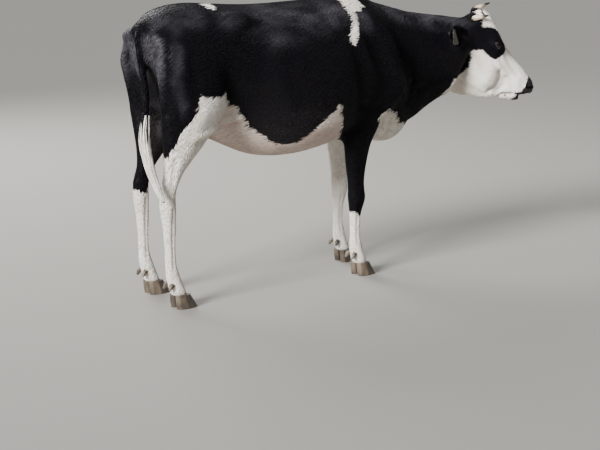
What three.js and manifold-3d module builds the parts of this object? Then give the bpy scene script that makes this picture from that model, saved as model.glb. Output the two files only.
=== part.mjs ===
// A standing black-and-white dairy heifer, life size, parted into the pieces a person would name.
// Millimetres, +X towards the head, +Y to the animal's left, +Z up. The soles lie at Z 0, and the
// origin is under the middle of the whole animal.
import * as THREE from "three";
import { mergeVertices } from "three/addons/utils/BufferGeometryUtils.js";
import Module from "manifold-3d";

const wasm = await Module();
wasm.setup();

// ---------------------------------------------------------------- driving dimensions
const CUT = 0.5; // width of the thin cuts that part the flesh
const TOUCH_GAP = 0.35; // gap round a piece that sits in a socket

const POLL = { x: 990, y: -92, z: 1206 }; // top of the head, between the horns
const FACE = { drop: 45, turn: -26, roll: 12 }; // degrees: below level, to the left, right side down

const EYE = { along: 186, out: 84, up: -24, radius: 21 }; // in the head's frame
const HORN = {
  left: { along: 17, out: 64, up: 12, rise: 74 },
  right: { along: 13, out: 66, up: -10, rise: 57 },
};
const EAR = { along: 49, out: 78, up: -86 };
const EAR_LIE = {
  left: { turn: 178, drop: 68, roll: 80 },
  right: { turn: -128, drop: 25, roll: -38 },
};
const TAG = { along: 141, off: -14, lift: 19, width: 40, height: 74, neck: 12, thick: 2.6, stud: 7 };

const STEP = { fore_left: 58, fore_right: -46, hind_left: 18, hind_right: -14 };
const TRACK = { fore: 133, hind: 143 }; // from the middle to each foot
const CLAW = { apart: 24.6, coronet: 62 };
const DEWCLAW = { radius: 11, length: 30, apart: 21, height: 112 };

const HIND_CUT = { front: -520, low: 763, rise: 0.67, inner: 58, back: -1000 };
const ELBOW_CUT = { back: 170, front: 415, level: 700, inner: 80 };
const KNEE_LEVEL = 398;
const HOCK_LEVEL = 470;
const NECK_CUT = { high: 395, low: 640 };
const TAIL_CUT = { root: -806, bend: 1186, behind: -840, level: 1150, free: 1080, reach: 61 };
const TAIL_SWEEP = { right: -118, left: 40 }; // how far it spreads to each side below its bend
const DOCK_END = 838;
const MUZZLE_AT = 402;
const UDDER_LEVEL = 700;
const TEAT = { z: UDDER_LEVEL - 46, along: 10, out: 10, up: 36, sides: 8, rows: 5 };

const SIDES = [
  ["left", 1],
  ["right", -1],
];
const HORN_DETAIL = { rows: 5, sides: 8 };
const EAR_DETAIL = { rows: 6, sides: 8 };
const LEG_DETAIL = { rows: 17, sides: 12 };
const CLAW_DETAIL = { rows: 5, sides: 8 };
const DEWCLAW_DETAIL = { rows: 4, sides: 5 };

const FINISH = {
  coat: { color: 0x17161a, roughness: 0.55, metalness: 0 },
  white: { color: 0xe9e4dc, roughness: 0.7, metalness: 0 },
  horn: { color: 0xd9cdb4, roughness: 0.35, metalness: 0 },
  claw: { color: 0x4a4038, roughness: 0.5, metalness: 0 },
  eye: { color: 0x120c0a, roughness: 0.05, metalness: 0 },
  udder: { color: 0xd9b3a4, roughness: 0.6, metalness: 0 },
  tag: { color: 0xe3d98a, roughness: 0.45, metalness: 0 },
};

// ---------------------------------------------------------------- solids
// A three.js geometry as a solid for joining and cutting.
function solid(geometry) {
  const bare = geometry.clone();
  bare.deleteAttribute("normal");
  bare.deleteAttribute("uv");
  const merged = mergeVertices(bare, 1e-3);
  return new wasm.Manifold(
    new wasm.Mesh({
      numProp: 3,
      vertProperties: merged.getAttribute("position").array,
      triVerts: new Uint32Array(merged.index.array),
    }),
  );
}

function geometryOf(made) {
  const { vertProperties, triVerts } = made.getMesh();
  return new THREE.BufferGeometry()
    .setAttribute("position", new THREE.BufferAttribute(new Float32Array(vertProperties), 3))
    .setIndex(new THREE.BufferAttribute(new Uint32Array(triVerts), 1));
}

// A frame from an origin and turns in degrees: to the left, then nose down, then left side up.
function frameAt({ x, y, z }, { turn = 0, drop = 0, roll = 0 }) {
  const [r, d, t] = [roll, drop, turn].map(THREE.MathUtils.degToRad);
  return new THREE.Matrix4()
    .makeRotationFromEuler(new THREE.Euler(r, d, t, "ZYX"))
    .setPosition(x, y, z);
}

function moved(made, matrix) {
  return solid(geometryOf(made).applyMatrix4(matrix));
}

function joined(...solids) {
  return solids.reduce((whole, next) => whole.add(next));
}

function ball({ x, y = 0, z, along, out, up, sides = 8, rows = 6 }) {
  const geometry = new THREE.SphereGeometry(1, sides, rows);
  return solid(geometry.scale(along, out, up).translate(x, y, z));
}

// ---------------------------------------------------------------- lofting
// A part's shape is a few stations along its length. A station's centre is x, y, z; up, down and
// wide are its reach from there; crown and keel are how square its upper and lower half are, where
// 2 is an ellipse; tilt, turn and roll, in degrees, turn its plane nose-down, to the left, and
// left side up.
const KEYS = ["x", "y", "z", "up", "down", "wide", "crown", "keel", "tilt", "turn", "roll"];
const PLAIN = { y: 0, crown: 2, keel: 2, tilt: 0, turn: 0, roll: 0 };

function stationsAt(stations) {
  const full = stations.map((s) => ({ ...PLAIN, ...s }));
  const lengths = [0];
  for (let i = 1; i < full.length; i++) {
    const step = ["x", "y", "z"].map((k) => full[i][k] - full[i - 1][k]);
    lengths.push(lengths[i - 1] + Math.hypot(...step));
  }
  const values = full.flatMap((s) => KEYS.map((k) => s[k]));
  const curve = new THREE.CubicInterpolant(lengths, values, KEYS.length);
  const total = lengths[lengths.length - 1];
  return (t) => {
    const found = curve.evaluate(t * total);
    return Object.fromEntries(KEYS.map((k, i) => [k, found[i]]));
  };
}

function power(value, exponent) {
  return Math.sign(value) * Math.abs(value) ** exponent;
}

// A point on a station's rim, at an angle from its left side towards its top.
function rimPoint(s, angle) {
  const c = Math.cos(angle);
  const h = Math.sin(angle);
  const exponent = 2 / (h > 0 ? s.crown : s.keel);
  const reach = h > 0 ? s.up : s.down;
  const point = new THREE.Vector3(0, s.wide * power(c, exponent), reach * power(h, exponent));
  return point.applyMatrix4(frameAt(s, { turn: s.turn, drop: s.tilt, roll: s.roll }));
}

// A closed loft through stations: a sphere's rows and columns, moved onto the stations' rims, with
// each pole in the middle of its end. Which way its faces look depends on the stations' order.
function loft(stations, { rows, sides }) {
  const at = stationsAt(stations);
  const geometry = new THREE.SphereGeometry(1, sides, rows);
  const position = geometry.getAttribute("position");
  const uv = geometry.getAttribute("uv");
  for (let i = 0; i < position.count; i++) {
    const row = Math.round((1 - uv.getY(i)) * rows);
    const column = Math.round(uv.getX(i) * sides) % sides;
    const s = at(THREE.MathUtils.clamp((row - 1) / (rows - 2), 0, 1));
    const pole = row === 0 || row === rows;
    const point = pole
      ? new THREE.Vector3(s.x, s.y, s.z)
      : rimPoint(s, (2 * Math.PI * column) / sides);
    position.setXYZ(i, point.x, point.y, point.z);
  }
  const made = solid(geometry);
  return made.volume() > 0 ? made : solid(insideOut(geometry));
}

function insideOut(geometry) {
  const turned = geometry.clone();
  const { index } = turned;
  for (let i = 0; i < index.count; i += 3) {
    const second = index.getX(i + 1);
    index.setX(i + 1, index.getX(i + 2));
    index.setX(i + 2, second);
  }
  return turned;
}

// A slice across the body by its top, its widest level and its bottom.
function slice({ top, mid, low, ...rest }) {
  return { z: mid, up: top - mid, down: mid - low, ...rest };
}

// The right side's twin of stations given for the left.
function mirrored(stations) {
  return stations.map((s) => ({ ...s, y: -(s.y ?? 0), turn: -(s.turn ?? 0), roll: -(s.roll ?? 0) }));
}

function sided(stations, side) {
  return side > 0 ? stations : mirrored(stations);
}

// The same stations, wider by a gap all round and longer by it at both ends.
function loosened(stations, gap) {
  const last = stations.length - 1;
  return stations.map((s, i) => {
    const wider = { ...s, up: s.up + gap, down: s.down + gap, wide: s.wide + gap };
    if (i > 0 && i < last) return wider;
    const next = stations[i === 0 ? 1 : last - 1];
    const away = new THREE.Vector3(s.x - next.x, (s.y ?? 0) - (next.y ?? 0), s.z - next.z);
    away.setLength(2 * gap);
    return { ...wider, x: s.x + away.x, y: (s.y ?? 0) + away.y, z: s.z + away.z };
  });
}

// ---------------------------------------------------------------- trunk and neck
const trunk = loft(
  [
    { x: -836, top: 1206, mid: 1110, low: 1010, wide: 84, crown: 2.3 }, // behind the pin bones
    { x: -822, top: 1230, mid: 1105, low: 960, wide: 110, crown: 2.4 },
    { x: -780, top: 1258, mid: 1100, low: 880, wide: 148, crown: 2.4 }, // tail head
    { x: -700, top: 1288, mid: 1090, low: 800, wide: 180, crown: 2.3 },
    { x: -600, top: 1298, mid: 1090, low: 740, wide: 206, crown: 2.4 }, // thurls
    { x: -480, top: 1291, mid: 1130, low: 690, wide: 218, crown: 2.6 }, // hooks
    { x: -370, top: 1285, mid: 1060, low: 640, wide: 232, crown: 2.5 },
    { x: -250, top: 1283, mid: 960, low: 600, wide: 270, crown: 2.4 }, // flank
    { x: -90, top: 1288, mid: 925, low: 589, wide: 300, crown: 2.2 }, // barrel
    { x: 90, top: 1300, mid: 925, low: 615, wide: 288, crown: 2.0 },
    { x: 220, top: 1318, mid: 940, low: 638, wide: 245, crown: 1.8 }, // girth
    { x: 330, top: 1312, mid: 950, low: 635, wide: 208, crown: 1.6 }, // withers
    { x: 450, top: 1262, mid: 950, low: 602, wide: 180, crown: 1.6, keel: 1.8 },
    { x: 540, top: 1170, mid: 890, low: 600, wide: 140, keel: 1.8 },
    { x: 604, top: 1020, mid: 830, low: 645, wide: 92 }, // breast
    { x: 628, top: 880, mid: 790, low: 700, wide: 40 },
  ].map(slice),
  { rows: 21, sides: 20 },
);

const neck = loft(
  [
    { x: 300, y: 0, z: 1000, up: 290, down: 320, wide: 150, crown: 1.6, tilt: -4 },
    { x: 450, y: 0, z: 965, up: 318, down: 320, wide: 155, crown: 1.6, keel: 1.8, tilt: -8 },
    { x: 600, y: 0, z: 955, up: 300, down: 275, wide: 136, crown: 1.6, keel: 1.8, tilt: -12 },
    { x: 720, y: -12, z: 980, up: 245, down: 226, wide: 114, crown: 1.8, keel: 1.8, tilt: -14, turn: -6 },
    { x: 820, y: -32, z: 1002, up: 204, down: 205, wide: 102, keel: 1.8, tilt: -10, turn: -12 },
    { x: 900, y: -58, z: 1030, up: 154, down: 214, wide: 94, keel: 1.8, tilt: 4, turn: -18 },
    { x: 955, y: -80, z: 1060, up: 117, down: 210, wide: 84, keel: 1.8, tilt: 18, turn: -22 },
    { x: 990, y: -94, z: 1070, up: 70, down: 120, wide: 60, tilt: 26, turn: -24 },
  ],
  { rows: 11, sides: 20 },
);

const hook = { x: -468, y: 184, z: 1208, along: 92, out: 29, up: 62 };
const bones = [
  ball(hook),
  ball({ ...hook, y: -184 }),
  ball({ x: -807, y: 104, z: 1150, along: 44, out: 40, up: 44 }), // pin bones
  ball({ x: -797, y: -100, z: 1159, along: 42, out: 38, up: 48 }),
];

const udder = ball({ x: -620, z: 742, along: 112, out: 92, up: 78, rows: 7 });

// ---------------------------------------------------------------- legs
// The legs' stations run down the leg, so up is the leg's front and down its back.
const foreLeg = [
  { x: 300, y: 96, z: 1240, up: 55, down: 60, wide: 28 }, // top of the shoulder blade
  { x: 330, y: 135, z: 1130, up: 105, down: 120, wide: 52 },
  { x: 375, y: 152, z: 985, up: 140, down: 150, wide: 62 },
  { x: 395, y: 152, z: 885, up: 142, down: 158, wide: 68 }, // point of the shoulder
  { x: 355, y: 146, z: 790, up: 128, down: 142, wide: 64 },
  { x: 300, y: 140, z: 705, up: 100, down: 112, wide: 56 }, // elbow
  { x: 285, y: 136, z: 620, up: 72, down: 74, wide: 47 },
  { x: 281, y: 134, z: 520, up: 55, down: 56, wide: 39 },
  { x: 281, y: 133, z: 430, up: 44, down: 42, wide: 35 },
  { x: 284, y: 133, z: 378, up: 46, down: 40, wide: 41, crown: 2.6 }, // knee
  { x: 280, y: 133, z: 325, up: 34, down: 35, wide: 32 },
  { x: 279, y: 133, z: 270, up: 25, down: 27, wide: 24 },
  { x: 279, y: 133, z: 190, up: 25, down: 27, wide: 24 }, // cannon
  { x: 285, y: 133, z: 132, up: 33, down: 38, wide: 34 }, // fetlock
  { x: 299, y: 133, z: 94, up: 32, down: 35, wide: 35 },
  { x: 313, y: 133, z: 64, up: 40, down: 42, wide: 46 }, // coronet
  { x: 316, y: 133, z: 40, up: 36, down: 38, wide: 42 },
];

const hindLeg = [
  { x: -640, y: 120, z: 1210, up: 120, down: 100, wide: 60 },
  { x: -650, y: 148, z: 1110, up: 180, down: 187, wide: 76 },
  { x: -655, y: 152, z: 985, up: 190, down: 175, wide: 86 }, // thigh
  { x: -655, y: 148, z: 865, up: 175, down: 155, wide: 84 },
  { x: -668, y: 144, z: 770, up: 145, down: 132, wide: 72 }, // stifle
  { x: -704, y: 142, z: 690, up: 105, down: 88, wide: 56 },
  { x: -742, y: 142, z: 610, up: 68, down: 42, wide: 42 }, // gaskin
  { x: -766, y: 143, z: 550, up: 44, down: 27, wide: 31 },
  { x: -774, y: 143, z: 495, up: 39, down: 50, wide: 37, keel: 1.7 }, // point of the hock
  { x: -771, y: 143, z: 440, up: 35, down: 40, wide: 35 },
  { x: -766, y: 143, z: 380, up: 32, down: 35, wide: 28 },
  { x: -765, y: 143, z: 290, up: 25, down: 29, wide: 24 }, // cannon
  { x: -763, y: 143, z: 190, up: 26, down: 30, wide: 25 },
  { x: -753, y: 143, z: 135, up: 34, down: 41, wide: 35 }, // fetlock
  { x: -735, y: 143, z: 95, up: 33, down: 36, wide: 35 },
  { x: -719, y: 143, z: 64, up: 40, down: 42, wide: 46 }, // coronet
  { x: -716, y: 143, z: 40, up: 36, down: 38, wide: 42 },
];

const LEGS = {
  fore_left: { stations: foreLeg, side: 1, foot: 313, track: TRACK.fore },
  fore_right: { stations: foreLeg, side: -1, foot: 313, track: TRACK.fore },
  hind_left: { stations: hindLeg, side: 1, foot: -719, track: TRACK.hind },
  hind_right: { stations: hindLeg, side: -1, foot: -719, track: TRACK.hind },
};

function footAt(name) {
  const { side, foot, track } = LEGS[name];
  return new THREE.Vector3(foot + STEP[name], side * track, 0);
}

// A leg swung forwards from its top by its step, which its lower half takes in full.
function legStations(name) {
  const { stations, side } = LEGS[name];
  const share = (z) => 1 - THREE.MathUtils.smoothstep(z, 560, 1150);
  const swung = stations.map((s) => ({ ...s, x: s.x + STEP[name] * share(s.z), tilt: 90 }));
  return sided(swung, side);
}

// One claw of a cloven hoof, from the middle of the foot. The floor trims it to a flat sole, and
// the coronet to a flat top.
function clawSolid(inner) {
  const y = inner * CLAW.apart;
  const stations = [
    { x: -6, y, z: 90, up: 30, down: 34, wide: 20 },
    { x: -1, y, z: 62, up: 36, down: 38, wide: 22, crown: 1.9 },
    { x: 4, y, z: 40, up: 43, down: 43, wide: 23.5, crown: 1.8 },
    { x: 11, y, z: 16, up: 52, down: 46, wide: 24, crown: 1.7 },
    { x: 16, y, z: -10, up: 60, down: 46, wide: 24, crown: 1.6 },
  ].map((s) => ({ ...s, tilt: 90 }));
  return loft(stations, CLAW_DETAIL).intersect(hoofLayer);
}

function dewclawStations(inner) {
  const y = inner * DEWCLAW.apart;
  const { radius, length, height } = DEWCLAW;
  const round = { up: radius, down: radius, wide: radius, turn: inner * -12, tilt: 138 };
  return [
    { ...round, x: -48, y, z: height },
    { ...round, x: -48 - length * 0.45, y: y + inner * 3, z: height - length * 0.4 },
    { x: -48 - length * 0.7, y: y + inner * 4, z: height - length * 0.8, up: 5, down: 5, wide: 5, tilt: 138 },
  ];
}

// ---------------------------------------------------------------- tail
const tailStations = [
  { x: -735, y: 0, z: 1212, up: 34, down: 40, wide: 44, tilt: 170 },
  { x: -788, y: -2, z: 1210, up: 30, down: 38, wide: 36, tilt: 160 },
  { x: -832, y: -16, z: 1180, up: 28, down: 30, wide: 27, tilt: 130 },
  { x: -861, y: -50, z: 1125, up: 21, down: 20, wide: 22, tilt: 103 },
  { x: -864, y: -72, z: 1075, up: 20, down: 20, wide: 20, tilt: 92 },
  { x: -863, y: -90, z: 1020, up: 19, down: 19, wide: 19, tilt: 90 },
  { x: -862, y: -106, z: 960, up: 18, down: 18, wide: 18, tilt: 90 },
  { x: -864, y: -118, z: 900, up: 18, down: 18, wide: 18, tilt: 92 },
  { x: -869, y: -124, z: 840, up: 18, down: 18, wide: 18, tilt: 92 },
  { x: -877, y: -120, z: 790, up: 20, down: 20, wide: 20, tilt: 92 }, // switch
  { x: -882, y: -122, z: 740, up: 21, down: 21, wide: 22, tilt: 90 },
  { x: -880, y: -130, z: 690, up: 20, down: 20, wide: 22, tilt: 86 },
  { x: -874, y: -142, z: 640, up: 18, down: 18, wide: 21, tilt: 84 },
  { x: -867, y: -158, z: 590, up: 15, down: 15, wide: 18, tilt: 80 },
  { x: -859, y: -180, z: 545, up: 11, down: 11, wide: 14, tilt: 76, turn: 20 },
  { x: -851, y: -200, z: 508, up: 7, down: 7, wide: 9, tilt: 74, turn: 30 },
  { x: -847, y: -214, z: 485, up: 3, down: 3, wide: 4, tilt: 74, turn: 30 },
];
const TAIL_DETAIL = { rows: 14, sides: 8 };

// ---------------------------------------------------------------- head
const skull = loft(
  [
    { x: -12, top: -38, mid: -70, low: -100, wide: 40 },
    { x: 2, top: 16, mid: -52, low: -132, wide: 76, crown: 2.4 }, // poll
    { x: 45, top: 51, mid: -50, low: -175, wide: 88, crown: 2.4 },
    { x: 105, top: 44, mid: -55, low: -195, wide: 92, crown: 2.6 }, // forehead
    { x: 160, top: 28, mid: -60, low: -200, wide: 92, crown: 2.8 },
    { x: 205, top: 12, mid: -66, low: -200, wide: 88, crown: 2.8 }, // orbits
    { x: 250, top: 0, mid: -78, low: -190, wide: 78, crown: 2.6 },
    { x: 300, top: -6, mid: -86, low: -178, wide: 67, crown: 2.5 },
    { x: 350, top: -8, mid: -88, low: -158, wide: 60, crown: 2.5 },
    { x: 395, top: -10, mid: -88, low: -142, wide: 60, crown: 2.5 },
    { x: 440, top: -15, mid: -88, low: -130, wide: 65, crown: 2.4, keel: 2.4 }, // nostrils
    { x: 474, top: -20, mid: -74, low: -104, wide: 61, crown: 2.2, keel: 2.2 },
    { x: 498, top: -33, mid: -62, low: -82, wide: 47 },
    { x: 509, top: -50, mid: -60, low: -70, wide: 22 },
  ].map(slice),
  { rows: 15, sides: 16 },
);

const jaw = loft(
  [
    { x: 14, top: -110, mid: -150, low: -190, wide: 46 },
    { x: 60, top: -90, mid: -160, low: -226, wide: 70 },
    { x: 130, top: -80, mid: -165, low: -244, wide: 82 }, // cheek
    { x: 220, top: -85, mid: -168, low: -246, wide: 80 },
    { x: 300, top: -100, mid: -172, low: -236, wide: 64 },
    { x: 350, top: -115, mid: -172, low: -220, wide: 50 },
    { x: 390, top: -125, mid: -160, low: -192, wide: 41 },
    { x: 425, top: -120, mid: -148, low: -176, wide: 41 },
    { x: 462, top: -116, mid: -142, low: -168, wide: 37 }, // chin
    { x: 484, top: -124, mid: -138, low: -150, wide: 20 },
  ].map(slice),
  { rows: 10, sides: 12 },
);

const throat = loft(
  [
    { x: 40, top: -180, mid: -240, low: -340, wide: 60 },
    { x: 140, top: -180, mid: -240, low: -378, wide: 62, keel: 1.6 },
    { x: 215, top: -180, mid: -235, low: -364, wide: 60, keel: 1.6 },
    { x: 280, top: -180, mid: -220, low: -318, wide: 52, keel: 1.6 },
    { x: 345, top: -170, mid: -206, low: -268, wide: 42, keel: 1.6 },
    { x: 392, top: -150, mid: -190, low: -226, wide: 32 },
    { x: 424, top: -140, mid: -168, low: -192, wide: 22 },
  ].map(slice),
  { rows: 6, sides: 8 },
);

const orbits = SIDES.map(([, side]) =>
  ball({ x: 192, y: side * 60, z: -24, along: 44, out: 38, up: 34 }),
);

function hornStations(word, side) {
  const { along, out, up, rise } = HORN[word];
  const stations = [
    { x: along - 2, y: out - 20, z: up - 12, up: 15, down: 15, wide: 15, turn: 60 },
    { x: along, y: out, z: up, up: 16, down: 16, wide: 16, turn: 66, tilt: -10 },
    { x: along + 9, y: out + 16, z: up + 0.33 * rise, up: 13, down: 13, wide: 13, turn: 50, tilt: -40 },
    { x: along + 20, y: out + 25, z: up + 0.68 * rise, up: 8, down: 8, wide: 8, turn: 40, tilt: -58 },
    { x: along + 30, y: out + 27, z: up + rise, up: 3, down: 3, wide: 3, turn: 30, tilt: -62 },
  ];
  return sided(stations, side);
}

function eyeBall(side, gap) {
  const reach = EYE.radius + gap;
  const place = { x: EYE.along, y: side * EYE.out, z: EYE.up };
  return ball({ ...place, along: reach, out: reach, up: reach, sides: 10, rows: 7 });
}

// An ear runs along its own X from its root, lies flat in its own XY, and its hollow looks up.
const earLeaf = [
  { x: -20, z: 0, up: 17, down: 17, wide: 16 },
  { x: 8, z: 0, up: 20, down: 20, wide: 21 },
  { x: 40, z: 0, up: 17, down: 19, wide: 44 },
  { x: 85, z: 2, up: 12, down: 15, wide: 60 },
  { x: 125, z: 6, up: 8, down: 11, wide: 52 },
  { x: 154, z: 10, up: 6, down: 8, wide: 32 },
  { x: 174, z: 13, up: 3, down: 4, wide: 10 },
];

const earHollow = [
  { x: 22, z: 22, up: 12, down: 8, wide: 12 },
  { x: 50, z: 20, up: 16, down: 22, wide: 34 },
  { x: 88, z: 20, up: 16, down: 25, wide: 48 },
  { x: 126, z: 22, up: 16, down: 20, wide: 40 },
  { x: 156, z: 24, up: 12, down: 14, wide: 20 },
];

function earFrame(word, side) {
  return frameAt({ x: EAR.along, y: side * EAR.out, z: EAR.up }, EAR_LIE[word]);
}

// The plate of the tag, its stud through the ear and the button behind, in the ear's own frame.
function tagSolid(gap) {
  const { along, off, width, height, neck, thick, stud } = TAG;
  const shape = new THREE.Shape([
    new THREE.Vector2(-neck / 2, -16),
    new THREE.Vector2(neck / 2, -16),
    new THREE.Vector2(width / 2, height - 24),
    new THREE.Vector2(width / 2 - 5, height - 16),
    new THREE.Vector2(5 - width / 2, height - 16),
    new THREE.Vector2(-width / 2, height - 24),
  ]);
  const plate = new THREE.ExtrudeGeometry(shape, { depth: thick + 2 * gap, bevelEnabled: false });
  plate.translate(along, off, TAG.lift - gap);
  const pin = new THREE.CylinderGeometry(stud / 2 + gap, stud / 2 + gap, TAG.lift + 8, 8);
  pin.rotateX(Math.PI / 2).translate(along, off, TAG.lift / 2 - 4);
  const button = new THREE.CylinderGeometry(8 + gap, 8 + gap, 3 + 2 * gap, 10);
  button.rotateX(Math.PI / 2).translate(along, off, -7);
  return joined(solid(plate), solid(pin), solid(button));
}

// ---------------------------------------------------------------- thin cuts
// A prism across the body, from its outline seen from the side.
function prism(points, from, to) {
  const shape = new THREE.Shape(points.map(([x, z]) => new THREE.Vector2(x, z)));
  const geometry = new THREE.ExtrudeGeometry(shape, { depth: to - from, bevelEnabled: false });
  return solid(geometry.rotateX(Math.PI / 2).translate(0, to, 0));
}

// The piece of the flesh in a region, and the rest of it beyond a thin cut.
function parted(flesh, region) {
  return [flesh.intersect(region(0)), flesh.subtract(region(CUT))];
}

const SPAN = 700;
const UNDER = -60;

// Everything on one side of the middle, from a distance out, within an outline seen from the side.
function outwards(points, side, inner) {
  return side > 0 ? prism(points, inner, SPAN) : prism(points, -SPAN, -inner);
}

function hindRegion(side) {
  const { front, low, rise, inner, back } = HIND_CUT;
  return (gap) => {
    const slope = [
      [front + gap, low + gap],
      [back, low + gap + rise * (front - back)],
    ];
    return outwards([...slope, [back, UNDER], [front + gap, UNDER]], side, inner - gap);
  };
}

function elbowRegion(side, step) {
  const { level, inner } = ELBOW_CUT;
  const back = ELBOW_CUT.back + step;
  const front = ELBOW_CUT.front + step;
  return (gap) => {
    const top = [
      [front + gap, level + gap],
      [back - gap, level + gap],
    ];
    return outwards([...top, [back - gap, UNDER], [front + gap, UNDER]], side, inner - gap);
  };
}

function layer({ low = UNDER, top, back = -1200, front = 1200 }) {
  return prism([[back, low], [front, low], [front, top], [back, top]], -SPAN, SPAN);
}

function below(level) {
  return (gap) => layer({ top: level + gap });
}

// All of the body ahead of a sloping cut, given where the cut is high and low.
function ahead([highX, highZ], [lowX, lowZ], matrix = new THREE.Matrix4()) {
  return (gap) => {
    const line = [
      [highX - gap, highZ],
      [lowX - gap, lowZ],
    ];
    return moved(prism([...line, [1900, lowZ], [1900, highZ]], -SPAN, SPAN), matrix);
  };
}

const headFrame = frameAt(POLL, FACE);
const hoofLayer = layer({ low: 0, top: CLAW.coronet });
const neckRegion = ahead([NECK_CUT.high, 1450], [NECK_CUT.low, 560]);
const headRegion = ahead([-134, 220], [200, -420], headFrame);
const muzzleRegion = ahead([MUZZLE_AT, 220], [MUZZLE_AT, -420], headFrame);
const udderRegion = (gap) => layer({ top: UDDER_LEVEL + gap, back: -760, front: -525 });

// The tail, from its root down to where it hangs free of the buttocks.
function tailRegion(gap) {
  const { root, bend, behind, level, free, reach } = TAIL_CUT;
  const line = [
    [root + gap, 1400],
    [root + gap, bend],
    [behind + gap, level],
  ];
  const { right, left } = TAIL_SWEEP;
  const atRoot = prism([...line, [-1100, level], [-1100, 1400]], -reach - gap, reach + gap);
  const low = free - 10;
  const hung = [[behind + gap, level], [behind + gap, low], [-1100, low], [-1100, level]];
  return joined(atRoot, prism(hung, right - gap, left + gap));
}

// ---------------------------------------------------------------- the animal
const group = new THREE.Group();
const body = new THREE.Group();
group.add(body);

function node(name, made, finish, parent = body) {
  const mesh = new THREE.Mesh(geometryOf(made), new THREE.MeshStandardMaterial(FINISH[finish]));
  mesh.name = name;
  parent.add(mesh);
}

// A group whose place and turn come from a frame, so that its pieces keep their own plain axes.
function placedGroup(matrix) {
  const made = new THREE.Group();
  made.applyMatrix4(matrix);
  body.add(made);
  return made;
}

const names = Object.keys(LEGS);

const tail = loft(tailStations, TAIL_DETAIL);
const hanging = layer({ top: TAIL_CUT.free });

let flesh = joined(
  trunk,
  neck,
  udder,
  ...bones,
  ...names.map((name) => loft(legStations(name), LEG_DETAIL)),
  ...[skull, jaw, throat, ...orbits].map((made) => moved(made, headFrame)),
  tail.subtract(hanging),
);
flesh = flesh.subtract(layer({ top: CLAW.coronet + CUT }));

for (const name of names) {
  const at = new THREE.Matrix4().setPosition(footAt(name));
  const foot = placedGroup(at);
  for (const [word, side] of SIDES) {
    const dewclaw = dewclawStations(side);
    flesh = flesh.subtract(moved(loft(loosened(dewclaw, 2 * TOUCH_GAP), DEWCLAW_DETAIL), at));
    node(`claw_${name}_${word}`, clawSolid(side), "claw", foot);
    node(`dewclaw_${name}_${word}`, loft(dewclaw, DEWCLAW_DETAIL), "claw", foot);
  }
}

const headGroup = placedGroup(headFrame);
for (const [word, side] of SIDES) {
  const horn = hornStations(word, side);
  flesh = flesh.subtract(moved(loft(loosened(horn, TOUCH_GAP), HORN_DETAIL), headFrame));
  flesh = flesh.subtract(moved(eyeBall(side, TOUCH_GAP), headFrame));
  node(`horn_${word}`, loft(horn, HORN_DETAIL), "horn", headGroup);
  node(`eye_${word}`, eyeBall(side, 0), "eye", headGroup);

  const frame = headFrame.clone().multiply(earFrame(word, side));
  const hollow = loft(earHollow, EAR_DETAIL);
  flesh = flesh.subtract(moved(loft(loosened(earLeaf, TOUCH_GAP), EAR_DETAIL), frame));
  const tagged = side < 0;
  const ear = loft(earLeaf, EAR_DETAIL).subtract(hollow);
  const earGroup = placedGroup(frame);
  node(`ear_${word}`, tagged ? ear.subtract(tagSolid(TOUCH_GAP)) : ear, "coat", earGroup);
  if (tagged) node("ear_tag", tagSolid(0), "tag", earGroup);
}

let tailPiece;
[tailPiece, flesh] = parted(flesh, tailRegion);
tailPiece = joined(tailPiece, tail.intersect(hanging));
const [switchPiece, dockPiece] = parted(tailPiece, below(DOCK_END));
node("tail_dock", dockPiece, "coat");
node("tail_switch", switchPiece, "white");

for (const name of names) {
  const { side } = LEGS[name];
  const hind = name.startsWith("hind");
  const region = hind ? hindRegion(side) : elbowRegion(side, STEP[name]);
  let leg;
  [leg, flesh] = parted(flesh, region);
  const [lower, upper] = parted(leg, below(hind ? HOCK_LEVEL : KNEE_LEVEL));
  node(`${hind ? "thigh" : "forearm"}_${name}`, upper, name === "fore_left" ? "white" : "coat");
  node(`cannon_${name}`, lower, "white");
}

let head;
let neckPiece;
let muzzle;
let udderPiece;
[neckPiece, flesh] = parted(flesh, neckRegion);
[head, neckPiece] = parted(neckPiece, headRegion);
[muzzle, head] = parted(head, muzzleRegion);
[udderPiece, flesh] = parted(flesh, udderRegion);
const teats = [1, -1].flatMap((side) =>
  [-650, -588].map((x) => ball({ ...TEAT, x, y: side * 36 })),
);
node("trunk", flesh, "coat");
node("neck", neckPiece, "coat");
node("head", head, "white");
node("muzzle", muzzle, "white");
node("udder", joined(udderPiece, ...teats), "udder");

const box = new THREE.Box3().setFromObject(body);
body.position.set(-(box.min.x + box.max.x) / 2, -(box.min.y + box.max.y) / 2, 0);

export default group;
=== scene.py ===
"""A young black-pied cow standing still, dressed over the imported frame.

One hide replaces every node of flesh. Short tufts lie over it along the body, with long locks on the
poll, in the ears and at the end of the tail. Eyes, horns, hoofs and the ear tag are pieces of their own.
"""

import logging
import math
from dataclasses import dataclass
from enum import Enum
from typing import Optional, Sequence

import bmesh
import bpy
import numpy as np
from bpy.types import Material, NodeSocket, NodeTree, Object
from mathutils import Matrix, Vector
from mathutils.bvhtree import BVHTree
from numpy import ndarray

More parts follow.
